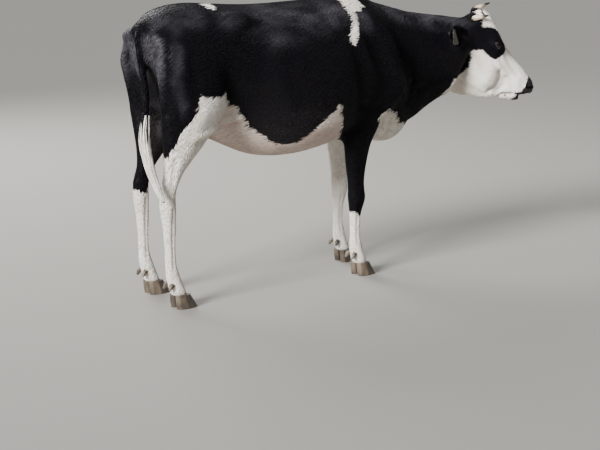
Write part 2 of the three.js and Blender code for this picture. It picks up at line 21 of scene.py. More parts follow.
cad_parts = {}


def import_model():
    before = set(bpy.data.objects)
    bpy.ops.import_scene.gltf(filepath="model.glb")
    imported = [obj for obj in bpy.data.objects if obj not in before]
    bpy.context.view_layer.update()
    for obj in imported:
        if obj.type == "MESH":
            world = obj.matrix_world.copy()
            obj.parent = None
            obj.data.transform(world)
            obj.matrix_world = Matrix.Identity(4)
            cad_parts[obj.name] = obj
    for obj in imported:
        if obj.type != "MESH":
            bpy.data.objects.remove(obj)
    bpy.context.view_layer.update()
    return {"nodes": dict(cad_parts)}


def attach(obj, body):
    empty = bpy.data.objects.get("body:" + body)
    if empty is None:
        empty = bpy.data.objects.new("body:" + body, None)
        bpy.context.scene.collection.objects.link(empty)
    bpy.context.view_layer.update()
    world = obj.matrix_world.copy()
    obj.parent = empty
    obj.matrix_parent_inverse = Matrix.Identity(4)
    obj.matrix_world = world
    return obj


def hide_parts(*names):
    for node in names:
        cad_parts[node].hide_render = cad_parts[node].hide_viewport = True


LOG = logging.getLogger("cow")
MM = 0.001
TINY = 1e-9
WELD = 0.02 * MM  # vertices closer than this are one
IMAGE_WIDTH = 600
BODY = "root"
MAP_NAME = "OFBake"
RGBA = {"data_type": "RGBA"}
WAVES = 9  # that a random field is made of
SIDES = ((1, "left"), (-1, "right"))
Shares = dict[str, ndarray]  # for each part of the body its share at each place


# ------------------------ small tools


def linear(colour: str) -> tuple[float, float, float, float]:
    """Turn an sRGB hex colour into linear light.

    Args:
        colour: The colour as "#rrggbb".

    Returns:
        Red, green, blue and an alpha of one.
    """
    parts = [int(colour[i : i + 2], 16) / 255 for i in (1, 3, 5)]
    return (*[c / 12.92 if c <= 0.04045 else ((c + 0.055) / 1.055) ** 2.4 for c in parts], 1.0)


def smoothstep(low: float, high: float, value: ndarray) -> ndarray:
    """Ease from zero at low to one at high."""
    t = np.clip((value - low) / (high - low), 0.0, 1.0)
    return t * t * (3 - 2 * t)


def bell(value: ndarray, middle: float, width: float) -> ndarray:
    """Stand at one in the middle and fall away over the width on both sides."""
    return np.exp(-(((value - middle) / width) ** 2))


def unit(vectors: ndarray) -> ndarray:
    """Scale each row to a length of one."""
    return vectors / np.maximum(np.linalg.norm(vectors, axis=-1, keepdims=True), TINY)


def ripple(points: ndarray, size: float, seed: int) -> ndarray:
    """Give a smooth random field with no grid of its own.

    Args:
        points: Places in metres.
        size: Typical width of a bump in metres.
        seed: Picks the field.

    Returns:
        One value per place, about -1 to 1.
    """
    rng = np.random.default_rng(seed)
    total = np.zeros(len(points))
    for _ in range(WAVES):
        wave = unit(rng.normal(size=3)) * (math.pi / size) * rng.uniform(0.6, 1.5)
        total += np.sin(points @ wave + rng.uniform(0, 6.3))
    return total / (0.4 * WAVES)


def select_only(*objects: Object) -> None:
    """Select these objects alone and make the first one active.

    Args:
        objects: One object or more.
    """
    bpy.ops.object.select_all(action="DESELECT")
    for obj in objects:
        obj.hide_set(False)
        obj.select_set(True)
    bpy.context.view_layer.objects.active = objects[0]


def free_copy(node: Object, name: str) -> Object:
    """Copy a CAD node as a free object that carries none of the frame's marks.

    Args:
        node: The CAD node.
        name: The copy's name.

    Returns:
        The copy, with a mesh of its own and no material.
    """
    copy = node.copy()
    copy.data = node.data.copy()
    copy.parent = None
    for key in list(copy.keys()):
        del copy[key]
    bpy.context.scene.collection.objects.link(copy)
    copy.name = name
    copy.data.name = name
    copy.hide_viewport = False
    copy.hide_render = False
    copy.data.materials.clear()
    return copy


def weld(obj: Object) -> None:
    """Merge an object's doubled vertices.

    Args:
        obj: A mesh object.
    """
    select_only(obj)
    bpy.ops.object.mode_set(mode="EDIT")
    bpy.ops.mesh.select_all(action="SELECT")
    bpy.ops.mesh.remove_doubles(threshold=WELD)
    bpy.ops.object.mode_set(mode="OBJECT")


def join(pieces: Sequence[Object], name: str) -> Object:
    """Join pieces into the first of them and name it.

    Args:
        pieces: Mesh objects.
        name: The whole's name.

    Returns:
        The first piece, now the whole.
    """
    select_only(*pieces)
    bpy.ops.object.join()
    pieces[0].name = name
    pieces[0].data.name = name
    return pieces[0]


def shade_smooth(obj: Object) -> None:
    """Shade every face of an object smooth."""
    obj.data.polygons.foreach_set("use_smooth", [True] * len(obj.data.polygons))


def turn_outward(obj: Object) -> None:
    """Make every face of a piece point outwards.

    Args:
        obj: The piece.
    """
    mesh = bmesh.new()
    mesh.from_mesh(obj.data)
    bmesh.ops.recalc_face_normals(mesh, faces=mesh.faces)
    mesh.to_mesh(obj.data)
    mesh.free()


def store(obj: Object, name: str, values: ndarray) -> None:
    """Keep one number for each vertex as an attribute."""
    attribute = obj.data.attributes.get(name) or obj.data.attributes.new(name, "FLOAT", "POINT")
    attribute.data.foreach_set("value", values.astype(np.float32))


def read_rows(items: bpy.types.bpy_prop_collection, key: str, width: int, kind: type = float) -> ndarray:
    """Read a property of every item of a mesh.

    Args:
        items: The mesh's vertices, edges, triangles or values.
        key: The property's name.
        width: How many numbers a row has.
        kind: The numbers' type.

    Returns:
        One row for each item.
    """
    flat = np.empty(len(items) * width, dtype=kind)
    items.foreach_get(key, flat)
    return flat.reshape(-1, width)


def read_points(obj: Object) -> ndarray:
    """Read an object's vertices as rows of x, y and z."""
    return read_rows(obj.data.vertices, "co", 3)


def read_normals(obj: Object) -> ndarray:
    """Read an object's vertex normals as rows."""
    return read_rows(obj.data.vertices, "normal", 3)


def read_edges(obj: Object) -> ndarray:
    """Read the vertex pairs of an object's edges."""
    return read_rows(obj.data.edges, "vertices", 2, np.int64)


def write_points(obj: Object, points: ndarray) -> None:
    """Put moved vertices back into an object's mesh."""
    obj.data.vertices.foreach_set("co", points.astype(np.float32).ravel())
    obj.data.update()


def relax(points: ndarray, edges: ndarray, weight: ndarray, rounds: int, back: float = -0.53) -> ndarray:
    """Smooth a mesh without letting it shrink.

    Args:
        points: The vertices, or other rows of numbers for each vertex.
        edges: Pairs of vertices.
        weight: Share of the smoothing that each vertex takes, 0 to 1.
        rounds: How many times a forward and a backward step are made.
        back: The backward step, or 0 for smoothing that shrinks.

    Returns:
        The moved vertices.
    """
    i, j = edges.T
    count, width = points.shape
    degree = np.maximum(np.bincount(i, minlength=count) + np.bincount(j, minlength=count), 1)
    for _ in range(rounds):
        for step in (0.5, back) if back else (0.5,):
            near = [
                np.bincount(i, points[j, k], count) + np.bincount(j, points[i, k], count)
                for k in range(width)
            ]
            mean = np.stack(near, axis=1) / degree[:, None]
            points = points + (step * weight)[:, None] * (mean - points)
    return points


def even_out(points: ndarray, edges: ndarray, weight: ndarray, rounds: int) -> ndarray:
    """Melt flats and creases into broad forms, then give back what the broad forms lost.

    Args:
        points: The vertices.
        edges: Pairs of vertices.
        weight: Share of the smoothing that each vertex takes, 0 to 1.
        rounds: Number of smoothing steps.

    Returns:
        The moved vertices.
    """
    soft = relax(points, edges, weight, rounds, back=0)
    return soft + relax(points - soft, edges, np.ones(len(points)), rounds, back=0)


def gap_to_run(points: ndarray, a: ndarray, b: ndarray) -> ndarray:
    """Measure how far each point is from the straight run between two knots.

    Args:
        points: One row for each point.
        a: The first knot.
        b: The second knot.

    Returns:
        One distance for each point.
    """
    run = b - a
    t = np.clip(((points - a) @ run) / max(run @ run, TINY), 0, 1)
    return np.linalg.norm(points - a - t[:, None] * run, axis=1)


def path_distance(points: ndarray, path: Sequence[tuple[float, ...]]) -> ndarray:
    """Measure how far each point is from a line of joined knots, all in the same unit."""
    knots = np.array(path, float)
    return np.min([gap_to_run(points, a, b) for a, b in zip(knots[:-1], knots[1:])], axis=0)


def outline_depth(places: ndarray, outline: Sequence[tuple[float, float]]) -> ndarray:
    """Measure how deep each flat place lies in a closed outline.

    Args:
        places: Rows of two numbers.
        outline: The corners in order.

    Returns:
        The distance to the outline, above zero inside it.
    """
    corners = np.array(outline, float)
    gap = path_distance(places, np.vstack([corners, corners[:1]]))
    inside = np.zeros(len(places), dtype=bool)
    for a, b in zip(corners, np.roll(corners, -1, axis=0)):
        run = b - a
        crosses = (a[1] > places[:, 1]) != (b[1] > places[:, 1])
        at = a[0] + (places[:, 1] - a[1]) * run[0] / (run[1] if abs(run[1]) > TINY else TINY)
        inside ^= crosses & (places[:, 0] < at)
    return np.where(inside, gap, -gap)


def add_node(
    tree: NodeTree,
    kind: str,
    settings: Optional[dict] = None,
    take: str = "",
    **links: NodeSocket,
) -> NodeSocket:
    """Add a shader node with its settings and links.

    Args:
        tree: The material's node tree.
        kind: The node's type name, without the word ShaderNode.
        settings: Properties of the node, or values of its inputs by name or number.
        take: The output to give back, or nothing for the first one in use.
        links: Sources of inputs, by name with underscores for spaces, or by n and a number.

    Returns:
        The output, or the node itself where it has none.
    """
    node = tree.nodes.new(f"ShaderNode{kind}")
    for name, value in (settings or {}).items():
        if isinstance(name, str) and hasattr(node, name):
            setattr(node, name, value)
        else:
            node.inputs[name].default_value = value
    for name, source in links.items():
        key = int(name[1:]) if name[1:].isdigit() else name.replace("_", " ")
        tree.links.new(node.inputs[key], source)
    return next((s for s in node.outputs if s.enabled and s.name.startswith(take)), node)


# ------------------------ finishes


@dataclass(frozen=True)
class Finish:
    """A material of shader nodes; each kind of finish gives its own shader."""

    name: str

    def make(self) -> Material:
        """Build the material on object coordinates.

        Returns:
            The material.
        """
        material = bpy.data.materials.new(self.name)
        material.use_nodes = True
        tree = material.node_tree
        tree.nodes.clear()
        shader = self.shader(tree, add_node(tree, "TexCoord", take="Object"))
        add_node(tree, "OutputMaterial", Surface=shader)
        return material

    def shader(self, tree: NodeTree, place: NodeSocket) -> NodeSocket:
        """Add the finish's own nodes.

        Args:
            tree: The material's node tree.
            place: The object's own coordinates.

        Returns:
            The shader's output.
        """
        raise NotImplementedError


@dataclass(frozen=True)
class CoatFinish(Finish):
    """Short summer coat: pigmented hair is near black with a cool gloss, white hair is warm and duller.

    Keratin hair has an IOR near 1.55, but hairs that lie together scatter most of their gloss, so a
    lower one is used. Where the hair is thin the pink or slate skin shows through.
    """

    name: str = "cattle_hair"
    black: str = "#0c0b0f"
    rusty: str = "#15100e"
    white: str = "#ece7df"
    cream: str = "#d2c3b1"
    # painted highlight, with some dust: the grey that the black hair takes along the topline and on the
    # buttock
    sheen_dust_grey: str = "#413f44"
    # pink skin, darkened partly as painted shade for the belly's underside
    bare_pink_and_shade: str = "#bb9a8e"
    bare_slate: str = "#2b2728"
    hair_width: float = 2.5 * MM  # a streak of hairs, drawn coarse so that it shows
    hair_length: float = 26 * MM
    tint_size: float = 90 * MM  # from one warmer cloud of hair to the next
    fringe: float = 4 * MM  # how far streaks break up a patch's edge
    edge: float = 1.2 * MM  # half the change from black to white

    def shader(self, tree: NodeTree, place: NodeSocket) -> NodeSocket:
        """Shade hide and coat by their attributes white, bare, shade, bloom and wet.

        Args:
            tree: The material's node tree.
            place: The object's own coordinates.

        Returns:
            The shader's output.
        """
        white, bare, shade, bloom, wet = (
            add_node(tree, "Attribute", {"attribute_name": word}, "Fac")
            for word in ("white", "bare", "shade", "bloom", "wet")
        )
        across = 1 / self.hair_width
        lie = add_node(tree, "Mapping", {"Scale": (1 / self.hair_length, across, across)}, Vector=place)
        streak = add_node(tree, "TexNoise", {"Scale": 1.0, "Detail": 3.0}, Vector=lie)
        ragged = add_node(
            tree, "Math", {"operation": "MULTIPLY_ADD", 1: self.fringe, 2: -self.fringe / 2}, n0=streak
        )
        depth = add_node(tree, "Math", {"operation": "ADD"}, n0=white, n1=ragged)
        mask = add_node(tree, "MapRange", {"From Min": -self.edge, "From Max": self.edge}, Value=depth)
        tint = add_node(tree, "TexNoise", {"Scale": 1 / self.tint_size, "Detail": 4.0}, Vector=place)
        hairs = []
        for fresh, faded, low, high, most in (
            (self.black, self.rusty, 0.5, 0.85, 0.7),
            (self.white, self.cream, 0.35, 0.8, 0.75),
        ):
            span = {"From Min": low, "From Max": high, "To Max": most}
            share = add_node(tree, "MapRange", span, Value=tint)
            colours = {**RGBA, 6: linear(fresh), 7: linear(faded)}
            hairs.append(add_node(tree, "Mix", colours, n0=share))
        dark, pale = hairs
        # painted highlight, with some dust, greys the black hair along the topline and on the buttock
        dark = add_node(tree, "Mix", {**RGBA, 7: linear(self.sheen_dust_grey)}, n0=bloom, n6=dark)
        dark = add_node(tree, "Mix", {**RGBA, 7: linear(self.bare_slate)}, n0=bare, n6=dark)
        pale = add_node(tree, "Mix", {**RGBA, 7: linear(self.bare_pink_and_shade)}, n0=bare, n6=pale)
        colour = add_node(tree, "Mix", RGBA, n0=mask, n6=dark, n7=pale)
        value = add_node(tree, "Math", {"operation": "MULTIPLY_ADD", 1: 0.5, 2: 0.78}, n0=streak)
        # shade carries each tuft's random tone and, on the hide, the painted shade in the mouth's slit
        value = add_node(tree, "Math", {"operation": "MULTIPLY"}, n0=value, n1=shade)
        colour = add_node(tree, "HueSaturation", Color=colour, Value=value)
        gloss = add_node(tree, "MapRange", {"To Min": 0.46, "To Max": 0.7}, Value=mask)
        gloss = add_node(tree, "Mix", {"data_type": "FLOAT", 3: 0.24}, n0=wet, n2=gloss)
        bump = add_node(tree, "Bump", {"Strength": 0.35, "Distance": 0.8 * MM}, Height=streak)
        return add_node(
            tree,
            "BsdfPrincipled",
            {"IOR": 1.13, "Sheen Weight": 0.006, "Sheen Roughness": 0.45},
            Base_Color=colour,
            Roughness=gloss,
            Normal=bump,
        )


@dataclass(frozen=True)
class EyeFinish(Finish):
    """A wet cow's eye: dark brown iris, wide level pupil, brown-stained white at the corners."""

    name: str = "eye_cornea"
    pupil: str = "#04060a"
    iris: str = "#24130a"
    limbus: str = "#0a0605"
    sclera: str = "#7a6254"
    fibre: float = 1.2 * MM

    def shader(self, tree: NodeTree, place: NodeSocket) -> NodeSocket:
        """Shade by the ball's own attributes pupil and reach.

        Args:
            tree: The material's node tree.
            place: The object's own coordinates.

        Returns:
            The shader's output.
        """
        pupil, reach = (
            add_node(tree, "Attribute", {"attribute_name": word}, "Fac")
            for word in ("pupil", "reach")
        )
        fibres = add_node(tree, "TexNoise", {"Scale": 1 / self.fibre, "Detail": 2.0}, Vector=place)
        colours = {**RGBA, 6: linear(self.limbus), 7: linear(self.iris)}
        iris = add_node(tree, "Mix", colours, n0=fibres)
        inner = add_node(tree, "MapRange", {"From Min": 0.9, "From Max": 1.1}, Value=pupil)
        seen = add_node(tree, "Mix", {**RGBA, 6: linear(self.pupil)}, n0=inner, n7=iris)
        edge = add_node(tree, "MapRange", {"From Min": 0.72, "From Max": 0.84}, Value=reach)
        colour = add_node(tree, "Mix", {**RGBA, 7: linear(self.sclera)}, n0=edge, n6=seen)
        return add_node(
            tree,
            "BsdfPrincipled",
            {"Roughness": 0.04, "IOR": 1.376, "Coat Weight": 0.6, "Coat Roughness": 0.02},
            Base_Color=colour,
        )


@dataclass(frozen=True)
class HornFinish(Finish):
    """Horn keratin: ivory and a little translucent at the root, dark and smoother at the tip."""

    name: str = "horn_keratin"
    ivory: str = "#e2d7c3"
    stain: str = "#b49c7e"
    tip: str = "#1d1612"
    stain_size: float = 14 * MM
    rings: float = 60.0  # radians that the growth rings' wave turns from root to tip

    def shader(self, tree: NodeTree, place: NodeSocket) -> NodeSocket:
        """Shade by the horn's own attribute rise.

        Args:
            tree: The material's node tree.
            place: The object's own coordinates.

        Returns:
            The shader's output.
        """
        rise = add_node(tree, "Attribute", {"attribute_name": "rise"}, "Fac")
        cloud = add_node(tree, "TexNoise", {"Scale": 1 / self.stain_size, "Detail": 4.0}, Vector=place)
        colours = {**RGBA, 6: linear(self.ivory), 7: linear(self.stain)}
        base = add_node(tree, "Mix", colours, n0=cloud)
        edge = add_node(tree, "Math", {"operation": "MULTIPLY_ADD", 1: 0.25}, n0=cloud, n2=rise)
        dark = add_node(tree, "MapRange", {"From Min": 0.72, "From Max": 0.95}, Value=edge)
        colour = add_node(tree, "Mix", {**RGBA, 7: linear(self.tip)}, n0=dark, n6=base)
        turns = {"operation": "MULTIPLY_ADD", 1: self.rings}
        wave = add_node(tree, "Math", turns, n0=rise, n2=cloud)
        wave = add_node(tree, "Math", {"operation": "SINE"}, n0=wave)
        bump = add_node(tree, "Bump", {"Strength": 0.4, "Distance": 0.4 * MM}, Height=wave)
        keratin = {"Roughness": 0.38, "IOR": 1.54, "Subsurface Weight": 0.08, "Subsurface Scale": 0.004}
        return add_node(tree, "BsdfPrincipled", keratin, Base_Color=colour, Normal=bump)


@dataclass(frozen=True)
class HoofFinish(Finish):
    """Hoof horn: slate to straw, with growth rings across it and fine tubules down it."""

    name: str = "hoof_horn"
    slate: str = "#3a332d"
    straw: str = "#6f6252"
    ring: float = 7 * MM  # from one growth ring to the next
    ring_run: float = 120 * MM
    tubule: float = 1.4 * MM
    tubule_run: float = 40 * MM
    patch: float = 60 * MM
    slant: float = 14.0  # degrees that the rings lean

    def shader(self, tree: NodeTree, place: NodeSocket) -> NodeSocket:
        """Shade by object coordinates.

        Args:
            tree: The material's node tree.
            place: The object's own coordinates.

        Returns:
            The shader's output.
        """
        fine = (1 / self.tubule, 1 / self.tubule, 1 / self.tubule_run)
        down = add_node(tree, "Mapping", {"Scale": fine}, Vector=place)
        tubules = add_node(tree, "TexNoise", {"Scale": 1.0, "Detail": 3.0}, Vector=down)
        tilt = (0, math.radians(self.slant), 0)
        broad = (1 / self.ring_run, 1 / self.ring_run, 1 / self.ring)
        level = add_node(tree, "Mapping", {"Rotation": tilt, "Scale": broad}, Vector=place)
        rings = add_node(tree, "TexNoise", {"Scale": 1.0, "Detail": 2.0}, Vector=level)
        patchy = add_node(tree, "TexNoise", {"Scale": 1 / self.patch, "Detail": 2.0}, Vector=place)
        mixed = add_node(tree, "Math", {"operation": "MULTIPLY_ADD", 1: 0.16}, n0=tubules, n2=patchy)
        share = add_node(tree, "MapRange", {"From Min": 0.42, "From Max": 0.78}, Value=mixed)
        colours = {**RGBA, 6: linear(self.slate), 7: linear(self.straw)}
        colour = add_node(tree, "Mix", colours, n0=share)
        height = add_node(tree, "Math", {"operation": "MULTIPLY_ADD", 1: 0.15}, n0=tubules, n2=rings)
        bump = add_node(tree, "Bump", {"Strength": 0.6, "Distance": 1.0 * MM}, Height=height)
        keratin = {"Roughness": 0.46, "IOR": 1.54}
        return add_node(tree, "BsdfPrincipled", keratin, Base_Color=colour, Normal=bump)


@dataclass(frozen=True)
class TagFinish(Finish):
    """Moulded polyurethane ear tag, pale yellow darkened as painted shade, with scuffs and dirt."""

    name: str = "polyurethane_tag"
    # painted shade: both colours are far darker than the tag's pale yellow, for the shade in the ear
    shaded_yellow: str = "#46443a"
    faded: str = "#3a3830"
    dirt_size: float = 16 * MM
    grain_size: float = 0.8 * MM

    def shader(self, tree: NodeTree, place: NodeSocket) -> NodeSocket:
        """Shade by object coordinates.

        Args:
            tree: The material's node tree.
            place: The object's own coordinates.

        Returns:
            The shader's output.
        """
        dirt = add_node(tree, "TexNoise", {"Scale": 1 / self.dirt_size, "Detail": 6.0}, Vector=place)
        share = add_node(tree, "MapRange", {"From Min": 0.4, "From Max": 0.7}, Value=dirt)
        colours = {**RGBA, 6: linear(self.shaded_yellow), 7: linear(self.faded)}
        colour = add_node(tree, "Mix", colours, n0=share)
        grain = add_node(tree, "TexNoise", {"Scale": 1 / self.grain_size, "Detail": 2.0}, Vector=place)
        bump = add_node(tree, "Bump", {"Strength": 0.15, "Distance": 0.15 * MM}, Height=grain)
        plastic = {"Roughness": 0.5, "IOR": 1.5}
        return add_node(tree, "BsdfPrincipled", plastic, Base_Color=colour, Normal=bump)


# ------------------------ the head's own axes


@dataclass(frozen=True)
class HeadAxes:
    """Axes of the lowered and turned head: along the face, out to the left, and up from it.

    Lengths are in mm and angles in degrees.
    """

    poll: tuple[float, float, float] = (793.1, -92.0, 1206.0)
    drop: float = 45.0
    turn: float = -26.0
    roll: float = 12.0
    core: float = 80.0  # the angle round the face is measured this deep under its ridge
    degree: float = 1.5  # width of one such degree in the FACE view

    def axes(self) -> ndarray:
        """Return the three unit axes as rows.

        Returns:
            Along the face, out to the left and up.
        """
        drop, turn, roll = (math.radians(a) for a in (self.drop, self.turn, self.roll))
        along = np.array(
            [math.cos(drop) * math.cos(turn), math.cos(drop) * math.sin(turn), -math.sin(drop)]
        )
        level = unit(np.cross([0.0, 0.0, 1.0], along))
        rise = np.cross(along, level)
        out = level * math.cos(roll) + rise * math.sin(roll)
        return np.array([along, out, np.cross(along, out)])

    def local(self, points: ndarray) -> ndarray:
        """Turn places in metres into the head's own millimetres."""
        return (points / MM - np.array(self.poll)) @ self.axes().T

    def folded(self, points: ndarray) -> ndarray:
        """Turn places in metres into the head's own millimetres, all laid onto its left side.

        Args:
            points: Places in metres.

        Returns:
            Rows of along, out and up.
        """
        near = self.local(points)
        near[:, 1] = np.abs(near[:, 1])
        return near

    def girth(self, near: ndarray) -> ndarray:
        """Measure the angle round the face from its ridge, in degrees."""
        return np.degrees(np.arctan2(np.abs(near[:, 1]), near[:, 2] + self.core))

    def face_view(self, near: ndarray) -> ndarray:
        """Lay places of the head out flat, along the face and round it."""
        return np.stack([near[:, 0], self.girth(near) * self.degree], axis=1)

    def world(self, places: ndarray) -> ndarray:
        """Turn the head's own millimetres into places in metres."""
        return (np.asarray(places, float) @ self.axes() + np.array(self.poll)) * MM


HEAD = HeadAxes()
EAR_HOLLOWS = ((0.509, 0.814, 0.28), (0.197, -0.959, 0.202))  # the way each opens, left and right


# ------------------------ markings


class View(Enum):
    """Flat views that outlines are drawn in, all in millimetres."""

    SIDE = "x and z of the row frame"
    TOP = "x and y of the row frame"
    FACE = "along the face, and the angle round it from its ridge times the head's degree"


@dataclass(frozen=True)
class Marking:
    """One patch of the coat: white hair, or black hair that lies over white."""

    name: str
    view: View
    side: int  # -1 for the right side, 1 for the left and 0 for both
    white: bool
    outline: tuple[tuple[float, float], ...]  # corners in the view's two numbers


MARKINGS = (
    Marking("belly and near hind leg", View.SIDE, -1, True, (
        (-863, 943), (-855, 916), (-820, 918), (-783, 913), (-745, 912), (-719, 931), (-712, 905),
        (-708, 881), (-649, 855), (-602, 801), (-556, 755), (-492, 709), (-431, 671), (-380, 667),
        (-309, 682), (-247, 762), (-205, 800), (-177, 823), (-169, 852), (-156, 830), (-147, 804),
        (-118, 763), (-85, 700), (-40, 640), (-40, -50), (-1250, -50), (-1250, 560), (-1040, 590),
        (-1005, 618), (-1004, 637), (-998, 659), (-973, 703), (-951, 752), (-916, 805), (-878, 851),
        (-868, 900),
    )),
    Marking("brisket", View.SIDE, 0, True, (
        (120, 759), (146, 770), (176, 791), (225, 778), (289, 751), (338, 698), (383, 690), (400, 660),
        (360, 610), (300, 575), (240, 560), (215, 600), (200, 650), (160, 700),
    )),
    Marking("withers stripe, right", View.SIDE, -1, True, (
        (-13, 1340), (99, 1340), (104, 1275), (118, 1257), (65, 1238), (33, 1232), (42, 1224), (20, 1180),
        (-14, 1130), (-40, 1085), (-75, 1095), (-58, 1125), (-30, 1170), (-6, 1225), (-8, 1258),
    )),
    Marking("withers stripe, left", View.SIDE, 1, True, (
        (-13, 1340), (99, 1340), (92, 1262), (78, 1235), (66, 1190), (74, 1130), (58, 1078), (30, 1052),
        (14, 1090), (18, 1150), (2, 1210), (-12, 1260),
    )),
    Marking("loin", View.TOP, 0, True, (
        (-748, -72), (-742, -100), (-724, -134), (-708, -114), (-692, -62), (-664, -22), (-648, 12),
        (-668, 38), (-700, 22), (-724, -24),
    )),
    Marking("belly, left", View.SIDE, 1, True, (
        (-800, 690), (-742, 752), (-688, 742), (-640, 776), (-574, 752), (-500, 716), (-431, 676),
        (-370, 700), (-300, 742), (-262, 812), (-226, 846), (-204, 818), (-150, 770), (-96, 700),
        (-40, 640), (-40, 560), (-500, 560), (-800, 600),
    )),
    Marking("flank spot, left", View.SIDE, 1, True, (
        (-470, 1010), (-432, 1062), (-380, 1074), (-336, 1030), (-346, 964), (-398, 930), (-446, 948),
    )),
    Marking("hock and shank, left", View.SIDE, 1, True, (
        (-1250, 486), (-972, 487), (-958, 474), (-945, 473), (-930, 488), (-905, 470), (-870, 492),
        (-700, 480), (-600, -50), (-1250, -50),
    )),
    Marking("fore leg, left", View.SIDE, 1, True, (
        (-40, 640), (10, 668), (60, 690), (110, 676), (160, 704), (230, 690), (300, 640), (420, 560),
        (420, -50), (-40, -50),
    )),
    Marking("sock, right", View.SIDE, -1, True, (
        (-40, 300), (20, 312), (60, 286), (90, 304), (130, 282), (300, 310), (300, -50), (-40, -50),
    )),
    Marking("throat", View.SIDE, 0, True, (
        (622, 800), (655, 846), (668, 892), (705, 884), (742, 905), (800, 872), (880, 780), (800, 700),
        (640, 720),
    )),
    Marking("face, right", View.FACE, -1, True, (
        (6, -60), (8, 30), (22, 46), (46, 57), (69, 76), (100, 57), (134, 39), (180, 34), (222, 44),
        (240, 66), (243, 100), (234, 130), (200, 140), (152, 141), (119, 184), (154, 205), (171, 216),
        (175, 240), (155, 252), (150, 300), (600, 300), (600, -60),
    )),
    Marking("face, left", View.FACE, 1, True, (
        (8, -60), (10, 36), (26, 54), (52, 70), (88, 60), (126, 42), (172, 38), (214, 52), (232, 82),
        (226, 118), (196, 138), (160, 150), (136, 186), (160, 214), (158, 244), (150, 300), (600, 300),
        (600, -60),
    )),
    Marking("nose pad", View.FACE, 0, False, (
        (422, -60), (426, 40), (430, 74), (441, 98), (450, 124), (450, 150), (438, 166), (426, 177),
        (434, 188), (600, 190), (600, -60),
    )),
    Marking("lower lip", View.FACE, 0, False, (
        (455, 186), (456, 215), (459, 245), (467, 280), (600, 280), (600, 186),
    )),
)


@dataclass(frozen=True)
class SheenAndDust:
    """Where a painted highlight, with some dust, greys the black coat, along a line in x and z of the row
    frame, in mm.
    """

    name: str
    path: tuple[tuple[float, float], ...]
    width: float
    strength: float


# painted highlights, with some dust, on the black coat
SHEENS_AND_DUST = (
    SheenAndDust("upper ribs", ((-563, 1202), (-420, 1249), (-216, 1210)), 74, 0.5),
    SheenAndDust("ribs", ((-507, 1137), (-359, 1153)), 52, 0.35),
    SheenAndDust("withers", ((-142, 1228), (-10, 1235), (60, 1190)), 60, 0.8),
    SheenAndDust("crest of the neck", ((230, 1262), (340, 1218), (536, 1178), (700, 1168)), 50, 0.65),
    SheenAndDust("rump", ((-968, 1232), (-922, 1222), (-820, 1240)), 52, 0.35),
    SheenAndDust("hook bone", ((-705, 1229), (-640, 1226)), 52, 0.3),
    SheenAndDust("thigh", ((-949, 1120), (-966, 994), (-936, 880)), 26, 0.45),
    SheenAndDust("buttock", ((-1030, 1150), (-1040, 1020), (-1046, 930)), 40, 1.3),
)


@dataclass(frozen=True)
class Pelt:
    """Colour of the hair at each point of the body, with lengths in mm."""

    ragged: float = 5.0  # how far an outline wanders
    tooth: float = 26.0  # from one of its teeth to the next
    fine_tooth: float = 9.0
    calm: float = 0.65  # how much less it wanders on the head
    switch_top: float = 842.0  # where the tail turns white
    spine: float = 1000.0  # markings seen from the top lie above this
    far: float = 60.0  # depth in black hair that is far from any marking
    black_ear: float = 40.0
    clouds: tuple[float, float] = (50.0, 17.0)  # widths of a broad and a fine cloud that break up the painted highlight and dust

    def white(self, points: ndarray, shares: Shares) -> ndarray:
        """Measure how deep each place lies in white hair.

        Args:
            points: Places in metres.
            shares: The share of each part at each place, 0 to 1.

        Returns:
            Metres inside a white patch, below zero in black hair.
        """
        mm = points / MM
        near = HEAD.local(points)
        flat = {View.SIDE: mm[:, [0, 2]], View.TOP: mm[:, [0, 1]], View.FACE: HEAD.face_view(near)}
        left = {View.SIDE: mm[:, 1], View.TOP: mm[:, 1], View.FACE: near[:, 1]}
        within = {
            View.SIDE: np.ones(len(points), dtype=bool),
            View.TOP: mm[:, 2] > self.spine,
            View.FACE: shares["head"] > 0.5,
        }
        depth = np.full(len(points), -self.far)
        for marking in MARKINGS:
            view = marking.view
            found = outline_depth(flat[view], marking.outline)
            changed = np.maximum(depth, found) if marking.white else np.minimum(depth, -found)
            depth = np.where(within[view] & (left[view] * marking.side >= 0), changed, depth)
        tail = shares["dock"] + shares["switch"] > 0.5
        depth = np.where(tail, self.switch_top - mm[:, 2], depth)
        depth = np.where(shares["ear"] > 0.5, -self.black_ear, depth)
        wander = ripple(points, self.tooth * MM, 11) + 0.6 * ripple(points, self.fine_tooth * MM, 12)
        return (depth + self.ragged * wander * (1 - self.calm * shares["head"])) * MM

    def bloom(self, points: ndarray, shares: Shares) -> ndarray:
        """Find how much painted highlight, with some dust, greys the black hair, 0 to 1.

        Args:
            points: Places in metres.
            shares: The share of each part at each place, 0 to 1.

        Returns:
            0 for plain glossy black hair to 1 for the most painted highlight and dust.
        """
        flat = points[:, [0, 2]] / MM
        found = np.zeros(len(points))
        for patch in SHEENS_AND_DUST:
            near = smoothstep(patch.width * 1.3, 0, path_distance(flat, patch.path))
            found = np.maximum(found, near * patch.strength)
        broad, fine = (ripple(points, size * MM, 13 + k) for k, size in enumerate(self.clouds))
        cloud = 0.75 + 0.45 * broad + 0.35 * fine
        return np.clip(found * cloud * (1 - shares["dock"] - shares["switch"]), 0, 1)


